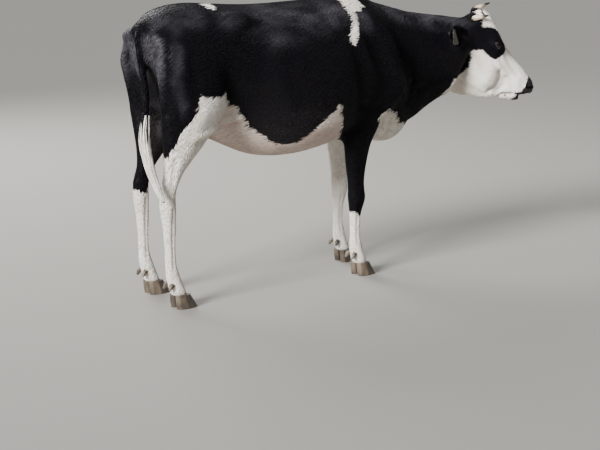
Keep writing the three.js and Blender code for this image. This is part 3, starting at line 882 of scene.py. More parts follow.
@dataclass(frozen=True)
class Skin:
    """Where the coat thins out and the skin shows, where the skin is wet, and where shade is painted in
    the mouth's slit and on the belly's underside.
    """

    lip: tuple[float, float] = (5.5, 3.5)  # mm of bare skin round the mouth's slit, none to full
    slit: tuple[float, float] = (6.2, 3.4)  # mm of painted shade in the slit, none to full
    rim: tuple[float, float] = (4.2, 2.4)  # mm of bare rim on the lids, none to full
    udder: tuple[float, float, float] = (-817, 0, 720)
    bag: tuple[float, float, float] = (150, 120, 110)  # half sizes of the bare skin round it
    belly: tuple = ((-1000, -900), (150, -60))  # where the thin hair and the painted shade of the belly start and end
    groin: tuple = ((560, 660), (900, 760))  # the same for the thighs' inner sides, in height

    def mouth_gap(self, points: ndarray) -> ndarray:
        """Measure how far each place is from the slit of the mouth, in mm."""
        near = HEAD.folded(points)
        return path_distance(near, Sculptor().laid(MOUTH, near))

    def nose_pad(self, points: ndarray, shares: Shares) -> ndarray:
        """Find the hairless pad between the nostrils and the lips' edges, 0 to 1.

        Args:
            points: Places on the hide in metres.
            shares: The share of each part at each vertex.

        Returns:
            1 on bare wet skin.
        """
        flat = HEAD.face_view(HEAD.local(points))
        pads = [m for m in MARKINGS if m.name in ("nose pad", "lower lip")]
        pad = np.max([outline_depth(flat, marking.outline) for marking in pads], axis=0)
        pad = np.maximum(smoothstep(0, 3, pad), smoothstep(*self.lip, self.mouth_gap(points)))
        return pad * (shares["head"] > 0.5)

    def shade(self, points: ndarray, shares: Shares) -> ndarray:
        """Find the painted shade inside the mouth's slit: 1 for plain skin and less in the slit."""
        dark = smoothstep(*self.slit, self.mouth_gap(points))
        return 1 - 0.85 * dark * (shares["head"] > 0.5)

    def lids(self, points: ndarray) -> ndarray:
        """Find the bare rims of the lids and the skin behind them, 0 to 1.

        Args:
            points: Places on the hide in metres.

        Returns:
            1 on a rim.
        """
        found = np.zeros(len(points))
        for side, _ in SIDES:
            u, v, w, outside = EYE.measure(points, side)
            close = (np.abs(w) < 2 * EYE.radius) & (np.hypot(u, v) < 2 * EYE.radius)
            found = np.maximum(found, smoothstep(*self.rim, outside) * close)
        return found

    def bare(self, points: ndarray, normals: ndarray, shares: Shares) -> ndarray:
        """Find how much of the skin shows through the hair, with painted shade on the belly's underside.

        Args:
            points: Places on the hide in metres.
            normals: The hide's normals there.
            shares: The share of each part.

        Returns:
            0 for a full coat to 1 for bare skin.
        """
        mm = points / MM
        # belly's downward faces: thin hair, and partly painted shade, give the darker pink
        under = smoothstep(0.0, 0.75, -normals[:, 2]) * (shares["trunk"] > 0.5)
        start, end = (smoothstep(*span, mm[:, 0]) for span in self.belly)
        belly = under * start * end
        udder = np.linalg.norm((mm - self.udder) / self.bag, axis=1)
        bag = smoothstep(1.15, 0.8, udder) * (shares["trunk"] + shares["thigh"] > 0.5)
        inner = smoothstep(0.2, 0.8, -normals[:, 1] * np.sign(points[:, 1]))
        low, high = (smoothstep(*span, mm[:, 2]) for span in self.groin)
        groin = inner * low * high * shares["thigh"] * 0.6
        hollow = np.array(EAR_HOLLOWS)[(HEAD.local(points)[:, 1] < 0).astype(int)]
        inside = smoothstep(0.1, 0.6, (normals * hollow).sum(axis=1)) * shares["ear"] * 0.45
        spots = [0.55 * belly, bag, groin, inside, self.nose_pad(points, shares), self.lids(points)]
        return np.clip(np.max(spots, axis=0), 0, 1)


# ------------------------ forms under the skin


@dataclass(frozen=True)
class Form:
    """A ridge, swelling or groove that follows a line over the hide, in mm."""

    name: str
    path: tuple[tuple[float, ...], ...]  # x and z of the row frame, or the head's along, out and up
    width: float
    rise: float  # how far it moves the hide out, or in below zero
    shift: float = 0.0  # how far the left side's copy lies ahead of the right side's


BODY_FORMS = (
    Form("pin bone", ((-1012, 1156), (-1000, 1174)), 46, 3),
    Form("hook bone", ((-690, 1208), (-640, 1216)), 46, 12),
    Form("rump between the bones", ((-900, 1180), (-790, 1192)), 52, -6),
    Form("hollow before the hook", ((-590, 1150), (-520, 1150)), 66, -9),
    Form("groove behind the thigh", ((-958, 1190), (-990, 1136), (-1002, 1076), (-1005, 994),
                                     (-999, 910), (-1000, 850)), 15, -8),
    Form("thigh muscle", ((-925, 1170), (-940, 1095), (-950, 1014), (-946, 930)), 36, 7),
    Form("second thigh groove", ((-880, 1120), (-890, 1020), (-884, 930)), 26, -4),
    Form("stifle", ((-850, 830), (-872, 800)), 52, 8),
    Form("flank fold", ((-880, 742), (-820, 752), (-766, 768), (-700, 782), (-618, 800)), 17, 9),
    Form("under the flank fold", ((-850, 712), (-760, 728), (-640, 756)), 20, -5),
    Form("last rib", ((-492, 1120), (-474, 980), (-420, 830)), 34, 5),
    Form("hollow behind the ribs", ((-570, 1060), (-560, 930)), 50, -6),
    Form("rib", ((-400, 1180), (-372, 1000), (-330, 820)), 15, 1.8),
    Form("rib", ((-330, 1195), (-300, 1000), (-262, 820)), 15, 1.8),
    Form("rib", ((-262, 1200), (-232, 1000), (-196, 830)), 15, 1.6),
    Form("rib", ((-192, 1200), (-166, 1010), (-132, 860)), 15, 1.4),
    Form("behind the shoulder", ((-76, 1190), (-52, 1060), (-44, 930), (-20, 820)), 34, -9),
    Form("shoulder blade's back edge", ((-20, 1210), (10, 1100), (40, 990)), 26, 6),
    Form("shoulder blade's ridge", ((92, 1215), (160, 1060), (222, 930)), 24, 6),
    Form("before the blade's ridge", ((160, 1190), (224, 1060), (280, 960)), 30, -5),
    Form("upper arm", ((60, 930), (110, 850)), 62, 9),
    Form("elbow", ((36, 772), (60, 762)), 34, 8),
    Form("arm groove", ((110, 800), (160, 742), (180, 690)), 18, -5),
    Form("point of the shoulder", ((318, 872), (336, 850)), 46, 9),
    Form("crease at the shoulder", ((382, 1010), (380, 900), (350, 790)), 20, -6),
    Form("jugular groove", ((430, 850), (520, 868), (600, 884), (650, 900)), 18, -6),
    Form("brisket crease", ((182, 790), (206, 720), (218, 640)), 12, -6),
    Form("brisket crease", ((262, 760), (268, 700), (262, 640)), 12, -4),
    Form("breast fold", ((300, 640), (352, 660), (398, 700)), 20, 6),
    Form("hock hollow", ((-962, 650), (-972, 600), (-976, 545)), 11, -7, 32),
    Form("cannon tendon, hind", ((-976, 440), (-976, 300), (-974, 175)), 7, -4, 32),
    Form("forearm tendon", ((30, 620), (36, 500), (38, 440)), 13, -4, 104),
    Form("cannon tendon, fore", ((34, 340), (33, 250), (34, 165)), 7, -4, 104),
)

HEAD_FORMS = (
    Form("cheek muscle", ((255, 74, -118), (275, 68, -150), (286, 60, -186)), 38, 19),
    Form("cheek muscle, back", ((180, 86, -140), (205, 80, -180)), 44, 4),
    Form("front edge of the cheek", ((300, 64, -102), (328, 56, -132), (342, 50, -165),
                                     (338, 44, -206)), 12, -12),
    Form("hollow before the mouth", ((348, 52, -116), (364, 44, -140), (368, 40, -172)), 22, -14),
    Form("cheek wrinkle", ((316, 60, -110), (346, 52, -142), (353, 42, -184)), 4.6, -2.6),
    Form("cheek wrinkle", ((352, 52, -112), (372, 44, -136), (376, 38, -166)), 4.6, -2.2),
    Form("cheek bone", ((210, 92, -66), (262, 80, -78), (330, 66, -90)), 12, 6),
    Form("under the cheek bone", ((232, 88, -96), (288, 72, -98)), 10, -3.5),
    Form("side of the nose", ((262, 60, -28), (320, 54, -40), (372, 52, -48)), 18, -7),
    Form("edge of the nose", ((240, 46, -2), (320, 36, -8), (392, 34, -12)), 12, 3),
    Form("tear hollow", ((224, 80, -42), (252, 72, -56)), 12, -4),
    Form("brow", ((150, 80, 10), (180, 82, 16), (212, 74, 6)), 14, 6),
    Form("temple", ((84, 90, -20), (124, 92, -34)), 26, -8),
    Form("jaw edge", ((170, 64, -238), (240, 60, -240), (310, 46, -226), (360, 36, -206)), 14, 6),
    Form("under the jaw edge", ((190, 36, -262), (260, 30, -258), (330, 20, -236)), 16, -6),
    Form("throat fold", ((60, 84, -230), (110, 74, -290), (140, 50, -330)), 12, -6),
    Form("throat fold", ((20, 92, -220), (60, 80, -290), (90, 60, -340)), 13, -4),
    Form("upper lip", ((394, 60, -74), (414, 60, -90), (434, 58, -100)), 26, 15),
    Form("lip over the mouth", ((430, 48, -118), (448, 58, -106), (470, 54, -92)), 9, 4),
    Form("mouth", ((502, 0, -80), (492, 26, -86), (476, 44, -102), (456, 54, -114),
                   (442, 46, -124), (430, 40, -136), (419, 36, -150), (411, 32, -167)), 7.0, -16),
    Form("corner of the mouth", ((415, 36, -158), (407, 32, -172)), 8, -5),
    Form("lower lip", ((480, 12, -128), (464, 34, -132), (444, 38, -150)), 11, 6),
    Form("chin", ((432, 0, -182), (456, 0, -168)), 20, 7),
    Form("behind the chin", ((396, 0, -204), (404, 24, -186), (408, 34, -172)), 13, -10),
    Form("nostril", ((480, 28, -44), (474, 36, -50), (466, 42, -56), (455, 46, -58),
                     (446, 46, -54)), 6.6, -15),
    Form("wing of the nostril", ((486, 20, -38), (486, 40, -56), (468, 54, -70),
                                 (448, 58, -66), (436, 54, -52), (446, 42, -40),
                                 (464, 32, -34)), 6, 4),
    Form("philtrum", ((504, 0, -50), (509, 0, -60), (506, 0, -74)), 3.6, -3.5),
)


MOUTH = next(form.path for form in HEAD_FORMS if form.name == "mouth")


@dataclass(frozen=True)
class Sculptor:
    """Raises and sinks the hide along its normals by named forms."""

    wrinkles: int = 17  # fine folds across the neck
    wrinkle_gap: float = 15.0
    wrinkle_width: float = 5.0
    first: float = 372.0  # x of the hindmost fold
    crest: tuple[float, float] = (368.0, 1226.0)  # x and z where the crest of the neck starts
    slope: float = 0.26  # how steeply it falls
    step: float = 7.0  # most from one laid knot of a line to the next
    behind: float = -60.0  # lines are laid on the hide ahead of this place along the face
    below: float = -420.0  # and above this height over it

    def push(self, points: ndarray, forms: Sequence[Form], on_head: bool) -> ndarray:
        """Sum the forms at each place.

        Args:
            points: Places in metres.
            forms: The forms, drawn for one side and mirrored.
            on_head: True where the paths are the head's own.

        Returns:
            Metres to move each place along its normal.
        """
        total = np.zeros(len(points))
        mm = points / MM
        near = HEAD.folded(points)
        for form in forms:
            if on_head:
                gap = path_distance(near, self.laid(form.path, near))
            else:
                flat = np.stack([mm[:, 0] - form.shift * (mm[:, 1] > 0), mm[:, 2]], axis=1)
                gap = path_distance(flat, form.path)
            total += form.rise * bell(gap, 0, form.width) * MM
        return total

    def laid(self, path: Sequence[tuple[float, ...]], near: ndarray) -> ndarray:
        """Lay a line down on the hide.

        Args:
            path: Its knots in the head's own millimetres.
            near: The hide's vertices in the same, folded onto one side.

        Returns:
            Knots at most a step apart, each on a vertex of the hide.
        """
        knots = np.array(path, float)
        spots = [knots[:1]]
        for a, b in zip(knots[:-1], knots[1:]):
            count = max(1, math.ceil(np.linalg.norm(b - a) / self.step))
            spots.append(a + (b - a) * (np.arange(1, count + 1) / count)[:, None])
        close = near[(near[:, 0] > self.behind) & (near[:, 2] > self.below)]
        found = [close[np.argmin(((close - spot) ** 2).sum(1))] for spot in np.concatenate(spots)]
        found = np.array(found)
        if len(found) > 2:
            found[1:-1] = (found[:-2] + 2 * found[1:-1] + found[2:]) / 4
        return found

    def neck_folds(self) -> tuple[Form, ...]:
        """Make the fine folds that stand across the upper neck.

        Returns:
            The folds.
        """
        folds = []
        for k in range(self.wrinkles):
            x = self.first + self.wrinkle_gap * k + 6 * math.sin(2.9 * k)
            crest = self.crest[1] - self.slope * (x - self.crest[0])
            fall = 78 + 22 * math.sin(2.3 * k + 1)
            lean = 34 - 0.8 * k + 7 * math.sin(1.3 * k)
            wave = 6 * math.sin(2.1 * k)
            line = ((x, crest), (x - lean * 0.45 + wave, crest - fall / 2), (x - lean, crest - fall))
            rise = 1.25 + 0.7 * math.sin(1.7 * k)
            folds.append(Form("neck fold", line, self.wrinkle_width, rise))
        return tuple(folds)


# ------------------------ eyes


@dataclass(frozen=True)
class EyeSeat:
    """Where an eye sits in the head, in the head's own millimetres along, out and up."""

    centre: tuple[float, float, float] = (186.0, 84.0, -24.0)
    radius: float = 21.0  # of the ball
    gaze: tuple[float, float, float] = (0.22, 0.95, 0.2)
    slit: tuple[float, float, float] = (0.96, -0.2, -0.28)  # from its outer corner to the inner one
    half_length: float = 18.5  # of the slit
    half_height: float = 12.5
    lid: float = 3.0  # how thick the lids are
    bend: float = 2.0  # how far the slit's middle stands over its corners
    lower_half: float = 0.82  # height of its lower half against the upper one
    sunk: float = 5.0  # how far the hide behind the ball is pressed in

    def frame(self, side: int) -> tuple[ndarray, ndarray, ndarray, ndarray]:
        """Return the centre, slit, rise and gaze of one eye in head millimetres.

        Args:
            side: 1 for the left eye, -1 for the right.

        Returns:
            A place and three unit ways.
        """
        flip = np.array([1.0, side, 1.0])
        gaze = unit(np.array(self.gaze) * flip)
        slit = np.array(self.slit) * flip
        slit = unit(slit - (slit @ gaze) * gaze)
        rise = np.cross(gaze, slit) * side
        if rise[2] < 0:
            rise = -rise
        return np.array(self.centre) * flip, slit, rise, gaze

    def measure(self, points: ndarray, side: int) -> tuple[ndarray, ndarray, ndarray, ndarray]:
        """Measure places against one eye.

        Args:
            points: Places in metres.
            side: 1 for the left eye, -1 for the right.

        Returns:
            Along the slit, up across it and out from the centre in mm, and how far outside the
            slit's outline each place lies, below zero inside it.
        """
        centre, slit, rise, gaze = self.frame(side)
        off = HEAD.local(points) - centre
        u, v, w = off @ slit, off @ rise, off @ gaze
        bent = v - self.bend * (1 - (u / self.half_length) ** 2)
        top = self.half_height * np.where(bent > 0, 1.0, self.lower_half)
        ratio = np.sqrt((u / self.half_length) ** 2 + (bent / top) ** 2 + TINY)
        reach = np.sqrt(u**2 + v**2)
        return u, v, w, reach * (1 - 1 / np.maximum(ratio, 1e-3))

    def carve(self, points: ndarray, side: int) -> ndarray:
        """Open the lids over one eye.

        Args:
            points: The hide's vertices in metres.
            side: 1 for the left eye, -1 for the right.

        Returns:
            The moved vertices.
        """
        gaze = self.frame(side)[3]
        u, v, w, outside = self.measure(points, side)
        reach = np.hypot(u, v)
        ball = np.sqrt(np.maximum(self.radius**2 - reach**2, 0.0))
        cover = np.sqrt(np.maximum((self.radius + self.lid) ** 2 - reach**2, 0.0))
        on_ball = smoothstep(self.radius + 1.5, self.radius - 3, reach)
        cover = cover * on_ball + w * (1 - on_ball)
        rim = 1.2 * bell(outside, 0, 2.6)
        upper = smoothstep(-6, 2, v)
        crease = upper * (1.8 * bell(outside, 11.0, 3.2) - 2.6 * bell(outside, 6.5, 2.0))
        crease += (1 - upper) * (bell(outside, 9.0, 3.0) - 1.6 * bell(outside, 5.5, 2.0))
        lids = w + (cover + rim - w) * smoothstep(17, 3, outside) + crease
        target = np.where(outside < 0, np.maximum(ball - self.sunk, 2.0), lids)
        near = (w > -8) & (reach < 50)
        step = np.where(near, target - w, 0.0)
        return HEAD.world(HEAD.local(points) + step[:, None] * gaze)


EYE = EyeSeat()


# ------------------------ hide


FLESH = {
    "trunk": ("trunk", "udder"),
    "neck": ("neck",),
    "head": ("head", "muzzle"),
    "fore": ("forearm_fore_left", "forearm_fore_right"),
    "thigh": ("thigh_hind_left", "thigh_hind_right"),
    "cannon": ("cannon_fore_left", "cannon_fore_right", "cannon_hind_left", "cannon_hind_right"),
    "ear": ("ear_left", "ear_right"),
    "dock": ("tail_dock",),
    "switch": ("tail_switch",),
}
PARTS = tuple(FLESH)
FLESH_NODES = tuple(name for group in FLESH.values() for name in group)


@dataclass
class Hide:
    """The one skin of the animal, grown from every node of flesh and drawn in by the coat's depth."""

    nodes: dict
    cell: float = 0.0105  # width of a remesh cell in metres
    swell: float = 1.2  # mm that each solid grows first, so that the thin cuts between them close
    depths: tuple = (3.2, 3.2, 2.2, 2.8, 3.2, 2.2, 1.8, 3.0, 9.0)  # mm inside the solids, as PARTS
    eases: tuple = (1.0, 1.0, 0.3, 0.55, 0.9, 0.25, 0.06, 0.5, 0.3)  # shares of the smoothing
    rounds: int = 44  # smoothing steps
    overhang: float = 6.0  # mm that the hide hangs over the hoofs' tops
    most: int = 192000  # triangles in the finished hide
    bones: tuple = (  # places in mm on the left that keep their shape, each with its reach
        ((-665.0, 184.0, 1208.0), 90.0),
        ((-994.0, 100.0, 1160.0), 80.0),
        ((-965.0, 0.0, 1225.0), 90.0),
    )
    finer: tuple = ((392.0, 62.0), (432.0, 36.0))  # start of the muzzle and reach round an eye, in mm
    muzzle: tuple[float, float] = (110.0, -230.0)  # its half width, and its lowest place
    neck: tuple[float, float] = (0.64, 1.06)  # fine folds lie behind this x and above this height
    leg_top: float = 0.62  # the fore legs are finer below this height
    hoof_top: tuple[float, float] = (74.0, 64.0)  # the hide turns down over the hoof between these
    obj: Optional[Object] = None

    def gather(self) -> None:
        """Copy the flesh nodes into one mesh and remesh it into a single closed skin."""
        names = FLESH_NODES + ("eye_left", "eye_right")
        self.obj = join([free_copy(self.nodes[name], "hide") for name in names], "hide")
        weld(self.obj)
        grown = read_points(self.obj) + read_normals(self.obj) * self.swell * MM
        write_points(self.obj, grown)
        self.obj.data.remesh_voxel_size = self.cell
        self.obj.data.remesh_voxel_adaptivity = 0.0
        bpy.ops.object.voxel_remesh()

    def part_shares(self, rounds: int) -> Shares:
        """Find which part of the body each vertex belongs to.

        Args:
            rounds: How far the parts blend into each other, in cells.

        Returns:
            For each part its share at each vertex, 0 to 1.
        """
        corners, faces, owner = [], [], []
        for index, part in enumerate(PARTS):
            for name in FLESH[part]:
                data = self.nodes[name].data
                data.calc_loop_triangles()
                start = len(corners)
                corners += [tuple(v.co) for v in data.vertices]
                for triangle in data.loop_triangles:
                    faces.append(tuple(start + v for v in triangle.vertices))
                    owner.append(index)
        tree = BVHTree.FromPolygons(corners, faces)
        points = read_points(self.obj)
        found = np.array([owner[tree.find_nearest(Vector(p))[2]] for p in points])
        shares = np.stack([(found == i).astype(float) for i in range(len(PARTS))], axis=1)
        shares = relax(shares, read_edges(self.obj), np.ones(len(points)), rounds, back=0.5)
        return {part: shares[:, i] for i, part in enumerate(PARTS)}

    def mixed(self, values: tuple, shares: Shares) -> ndarray:
        """Blend a value of each part by the parts' shares."""
        return sum(value * shares[part] for part, value in zip(PARTS, values))

    def smooth(self, rounds: int, shares: Shares) -> None:
        """Round off the flats of the solids, most on the broad parts and least over bones.

        Args:
            rounds: Smoothing steps.
            shares: The share of each part at each vertex.
        """
        weight = self.mixed(self.eases, shares)
        points, edges = read_points(self.obj), read_edges(self.obj)
        for spot, size in self.bones:
            place = points / MM
            place[:, 1] = np.abs(place[:, 1])
            gap = np.linalg.norm(place - np.array(spot), axis=1)
            weight = weight * (1 - 0.6 * bell(gap, 0, size))
        write_points(self.obj, even_out(points, edges, weight, rounds))

    def refine(self, chosen: ndarray, rounds: int = 2) -> None:
        """Split every face whose corners are all chosen into four.

        Args:
            chosen: True for each vertex of the part to refine.
            rounds: Smoothing steps that the new faces get.
        """
        mesh = bmesh.new()
        mesh.from_mesh(self.obj.data)
        mesh.verts.ensure_lookup_table()
        layer = mesh.verts.layers.int.new("fresh")
        picked = [e for e in mesh.edges if chosen[e.verts[0].index] and chosen[e.verts[1].index]]
        for edge in picked:
            edge.verts[0][layer] = 1
            edge.verts[1][layer] = 1
        bmesh.ops.subdivide_edges(mesh, edges=picked, cuts=1, use_grid_fill=True)
        mesh.to_mesh(self.obj.data)
        mesh.free()
        attributes = self.obj.data.attributes
        fresh = read_rows(attributes["fresh"].data, "value", 1, np.int32)[:, 0]
        attributes.remove(attributes["fresh"])
        weight = np.where(fresh > 0, 0.7, 0.0)
        points = read_points(self.obj)
        write_points(self.obj, relax(points, read_edges(self.obj), weight, rounds))

    def draw_in(self, shares: Shares) -> None:
        """Move the hide in along its normals by the depth of the coat, down to the hoofs.

        Args:
            shares: The share of each part at each vertex.
        """
        depth = self.mixed(self.depths, shares) * MM
        points = read_points(self.obj) - read_normals(self.obj) * depth[:, None]
        upper, lower = self.hoof_top
        points[:, 2] -= smoothstep(upper * MM, lower * MM, points[:, 2]) * self.overhang * MM
        write_points(self.obj, points)

    def on_face(self, start: float, reach: float) -> ndarray:
        """Find the vertices of the muzzle and round the eyes.

        Args:
            start: Where the muzzle starts along the face, in mm.
            reach: How far from an eye's middle a vertex may be, in mm.

        Returns:
            True for each vertex found.
        """
        near = HEAD.folded(read_points(self.obj))
        side, height = self.muzzle
        muzzle = (near[:, 0] > start) & (near[:, 1] < side) & (near[:, 2] > height)
        return muzzle | (np.linalg.norm(near - np.array(EYE.centre), axis=1) < reach)

    def build(self) -> Shares:
        """Make the hide from the solids.

        Returns:
            The share of each part at each vertex.
        """
        self.gather()
        self.smooth(self.rounds, self.part_shares(3))
        shares = self.part_shares(2)
        slim = sum(shares[part] for part in ("head", "cannon", "ear", "dock", "switch"))
        points = read_points(self.obj)
        ahead, level = self.neck
        folds = (shares["neck"] > 0.5) & (points[:, 0] < ahead) & (points[:, 2] > level)
        legs = (shares["fore"] > 0.5) & (points[:, 2] < self.leg_top)
        self.refine((slim > 0.4) | folds | legs)
        self.shape_body()
        for start, reach in self.finer:
            self.refine(self.on_face(start, reach))
        self.thin_out(self.shape_head())
        self.unwrap()
        return self.part_shares(4)

    def shape_body(self) -> None:
        """Raise the forms of the body and draw the hide in by the depth of the coat."""
        sculptor = Sculptor()
        points, normals = read_points(self.obj), read_normals(self.obj)
        move = sculptor.push(points, BODY_FORMS + sculptor.neck_folds(), on_head=False)
        shares = self.part_shares(3)
        body = 1 - shares["head"] - shares["ear"] - shares["dock"] - shares["switch"]
        flank = smoothstep(0.05, 0.4, np.abs(normals[:, 1]))
        write_points(self.obj, points + normals * (move * np.maximum(body, 0) * flank)[:, None])
        self.draw_in(shares)

    def shape_head(self) -> Shares:
        """Raise the forms of the head and open the lids.

        Returns:
            The share of each part at each vertex.
        """
        points = read_points(self.obj)
        move = Sculptor().push(points, HEAD_FORMS, on_head=True)
        shares = self.part_shares(4)
        own = np.clip(shares["head"] * 1.3, 0, 1)
        points = points + read_normals(self.obj) * (move * own)[:, None]
        for side, _ in SIDES:
            points = EYE.carve(points, side)
        write_points(self.obj, points)
        return shares

    def thin_out(self, shares: Shares) -> None:
        """Collapse edges away from the face until the hide has at most the wanted triangles.

        Args:
            shares: The share of each part at each vertex.
        """
        select_only(self.obj)
        group = self.obj.vertex_groups.new(name="spare")
        for index, share in enumerate(shares["head"] + shares["ear"]):
            group.add([index], float(1 - 0.9 * min(share, 1.0)), "REPLACE")
        self.obj.data.calc_loop_triangles()
        count = len(self.obj.data.loop_triangles)
        modifier = self.obj.modifiers.new("thin", "DECIMATE")
        modifier.ratio = min(1.0, self.most / count)
        modifier.vertex_group = group.name
        bpy.ops.object.modifier_apply(modifier=modifier.name)
        self.obj.vertex_groups.clear()

    def unwrap(self) -> None:
        """Lay the hide out flat, island by island, as the map that hide and coat are baked on."""
        select_only(self.obj)
        self.obj.data.uv_layers.new(name=MAP_NAME)
        bpy.ops.object.mode_set(mode="EDIT")
        bpy.ops.mesh.select_all(action="SELECT")
        bpy.ops.uv.smart_project(angle_limit=math.radians(72), island_margin=0.004)
        bpy.ops.object.mode_set(mode="OBJECT")


# ------------------------ coat


@dataclass(frozen=True)
class Nap:
    """How the hair of one part grows: its tufts' sizes in mm, and how often they cover the hide."""

    length: float
    width: float
    crown: float
    lift: float
    cover: float


NAPS = {
    "trunk": Nap(24, 4.0, 0.3, 0.6, 1.5),
    "neck": Nap(24, 4.0, 0.34, 0.8, 1.5),
    "head": Nap(12, 2.4, 0.22, 0.35, 1.5),
    "fore": Nap(19, 3.6, 0.28, 0.5, 1.5),
    "thigh": Nap(23, 4.0, 0.3, 0.6, 1.5),
    "cannon": Nap(13, 2.6, 0.2, 0.35, 1.5),
    "ear": Nap(16, 2.6, 0.4, 1.0, 1.6),
    "dock": Nap(24, 3.4, 0.6, 1.3, 1.8),
    "switch": Nap(30, 4.0, 0.8, 1.6, 1.2),
}
TUFT_FACES = (
    (0, 2, 1), (0, 1, 4), (0, 4, 3), (1, 2, 5), (1, 5, 4), (2, 0, 3), (2, 3, 5), (3, 4, 6), (4, 5, 6),
    (5, 3, 6),
)
TUFT_MAP = ((-1, -1), (1, -1), (0, -0.4), (-1, 0.3), (1, 0.3), (0, 0.5), (0, 1))


@dataclass
class Roots:
    """Where tufts grow from: places, normals, lie, colours and places on the hide's map."""

    place: ndarray
    normal: ndarray
    lie: ndarray
    white: ndarray
    bare: ndarray
    bloom: ndarray
    uv: ndarray
    shares: dict

    def pick(self, chosen: ndarray) -> "Roots":
        """Keep only the chosen roots."""
        rows = [values[chosen] for key, values in vars(self).items() if key != "shares"]
        return Roots(*rows, {part: share[chosen] for part, share in self.shares.items()})

    def nap(self, key: str) -> ndarray:
        """Find one measure of the hair at each root, in metres."""
        return blend_naps(key, self.shares) * MM


def blend_naps(key: str, shares: Shares) -> ndarray:
    """Blend one measure of the parts' hair by their shares."""
    return sum(getattr(NAPS[part], key) * shares[part] for part in PARTS)


def hair_lie(points: ndarray, normals: ndarray, shares: Shares) -> ndarray:
    """Find which way the hair lies at each place.

    Args:
        points: Places on the hide in metres.
        normals: The hide's normals there.
        shares: The share of each part of the body.

    Returns:
        Unit rows along the hide.
    """
    near = HEAD.local(points)
    axes = HEAD.axes()
    girth = HEAD.girth(near)
    cheek = smoothstep(35, 75, girth)[:, None]
    nose = np.sign(near[:, 0] - 165)[:, None] * (1 - cheek)
    outward = np.sign(near[:, 1])[:, None] * (0.35 + 0.1 * cheek)
    face = nose * axes[0] + outward * axes[1] + cheek * (-0.8 * axes[0] - 0.45 * axes[2])
    bases = np.array([HEAD.world((49, side * 60, -80)) for side in (1, -1)])
    base = bases[(near[:, 1] < 0).astype(int)]
    top = smoothstep(1.0, 1.25, points[:, 2])[:, None]
    ways = {
        "trunk": np.array([-0.9, 0, -0.45]) * (1 - top) + np.array([-1.0, 0, -0.12]) * top,
        "neck": np.array([-0.78, 0.0, -0.62]),
        "head": face,
        "fore": np.array([-0.22, 0.0, -1.0]),
        "thigh": np.array([-0.38, 0.0, -1.0]),
        "cannon": np.array([-0.05, 0.0, -1.0]),
        "ear": unit(points - base),
        "dock": np.array([-0.1, -0.1, -1.0]),
        "switch": np.array([0.05, -0.15, -1.0]),
    }
    way = sum(ways[part] * shares[part][:, None] for part in PARTS)
    swirl = 0.22 * ripple(points, 0.16, 21) + 0.1 * ripple(points, 0.04, 22)
    way = unit(way - (way * normals).sum(1)[:, None] * normals)
    return unit(way + np.cross(normals, way) * swirl[:, None])


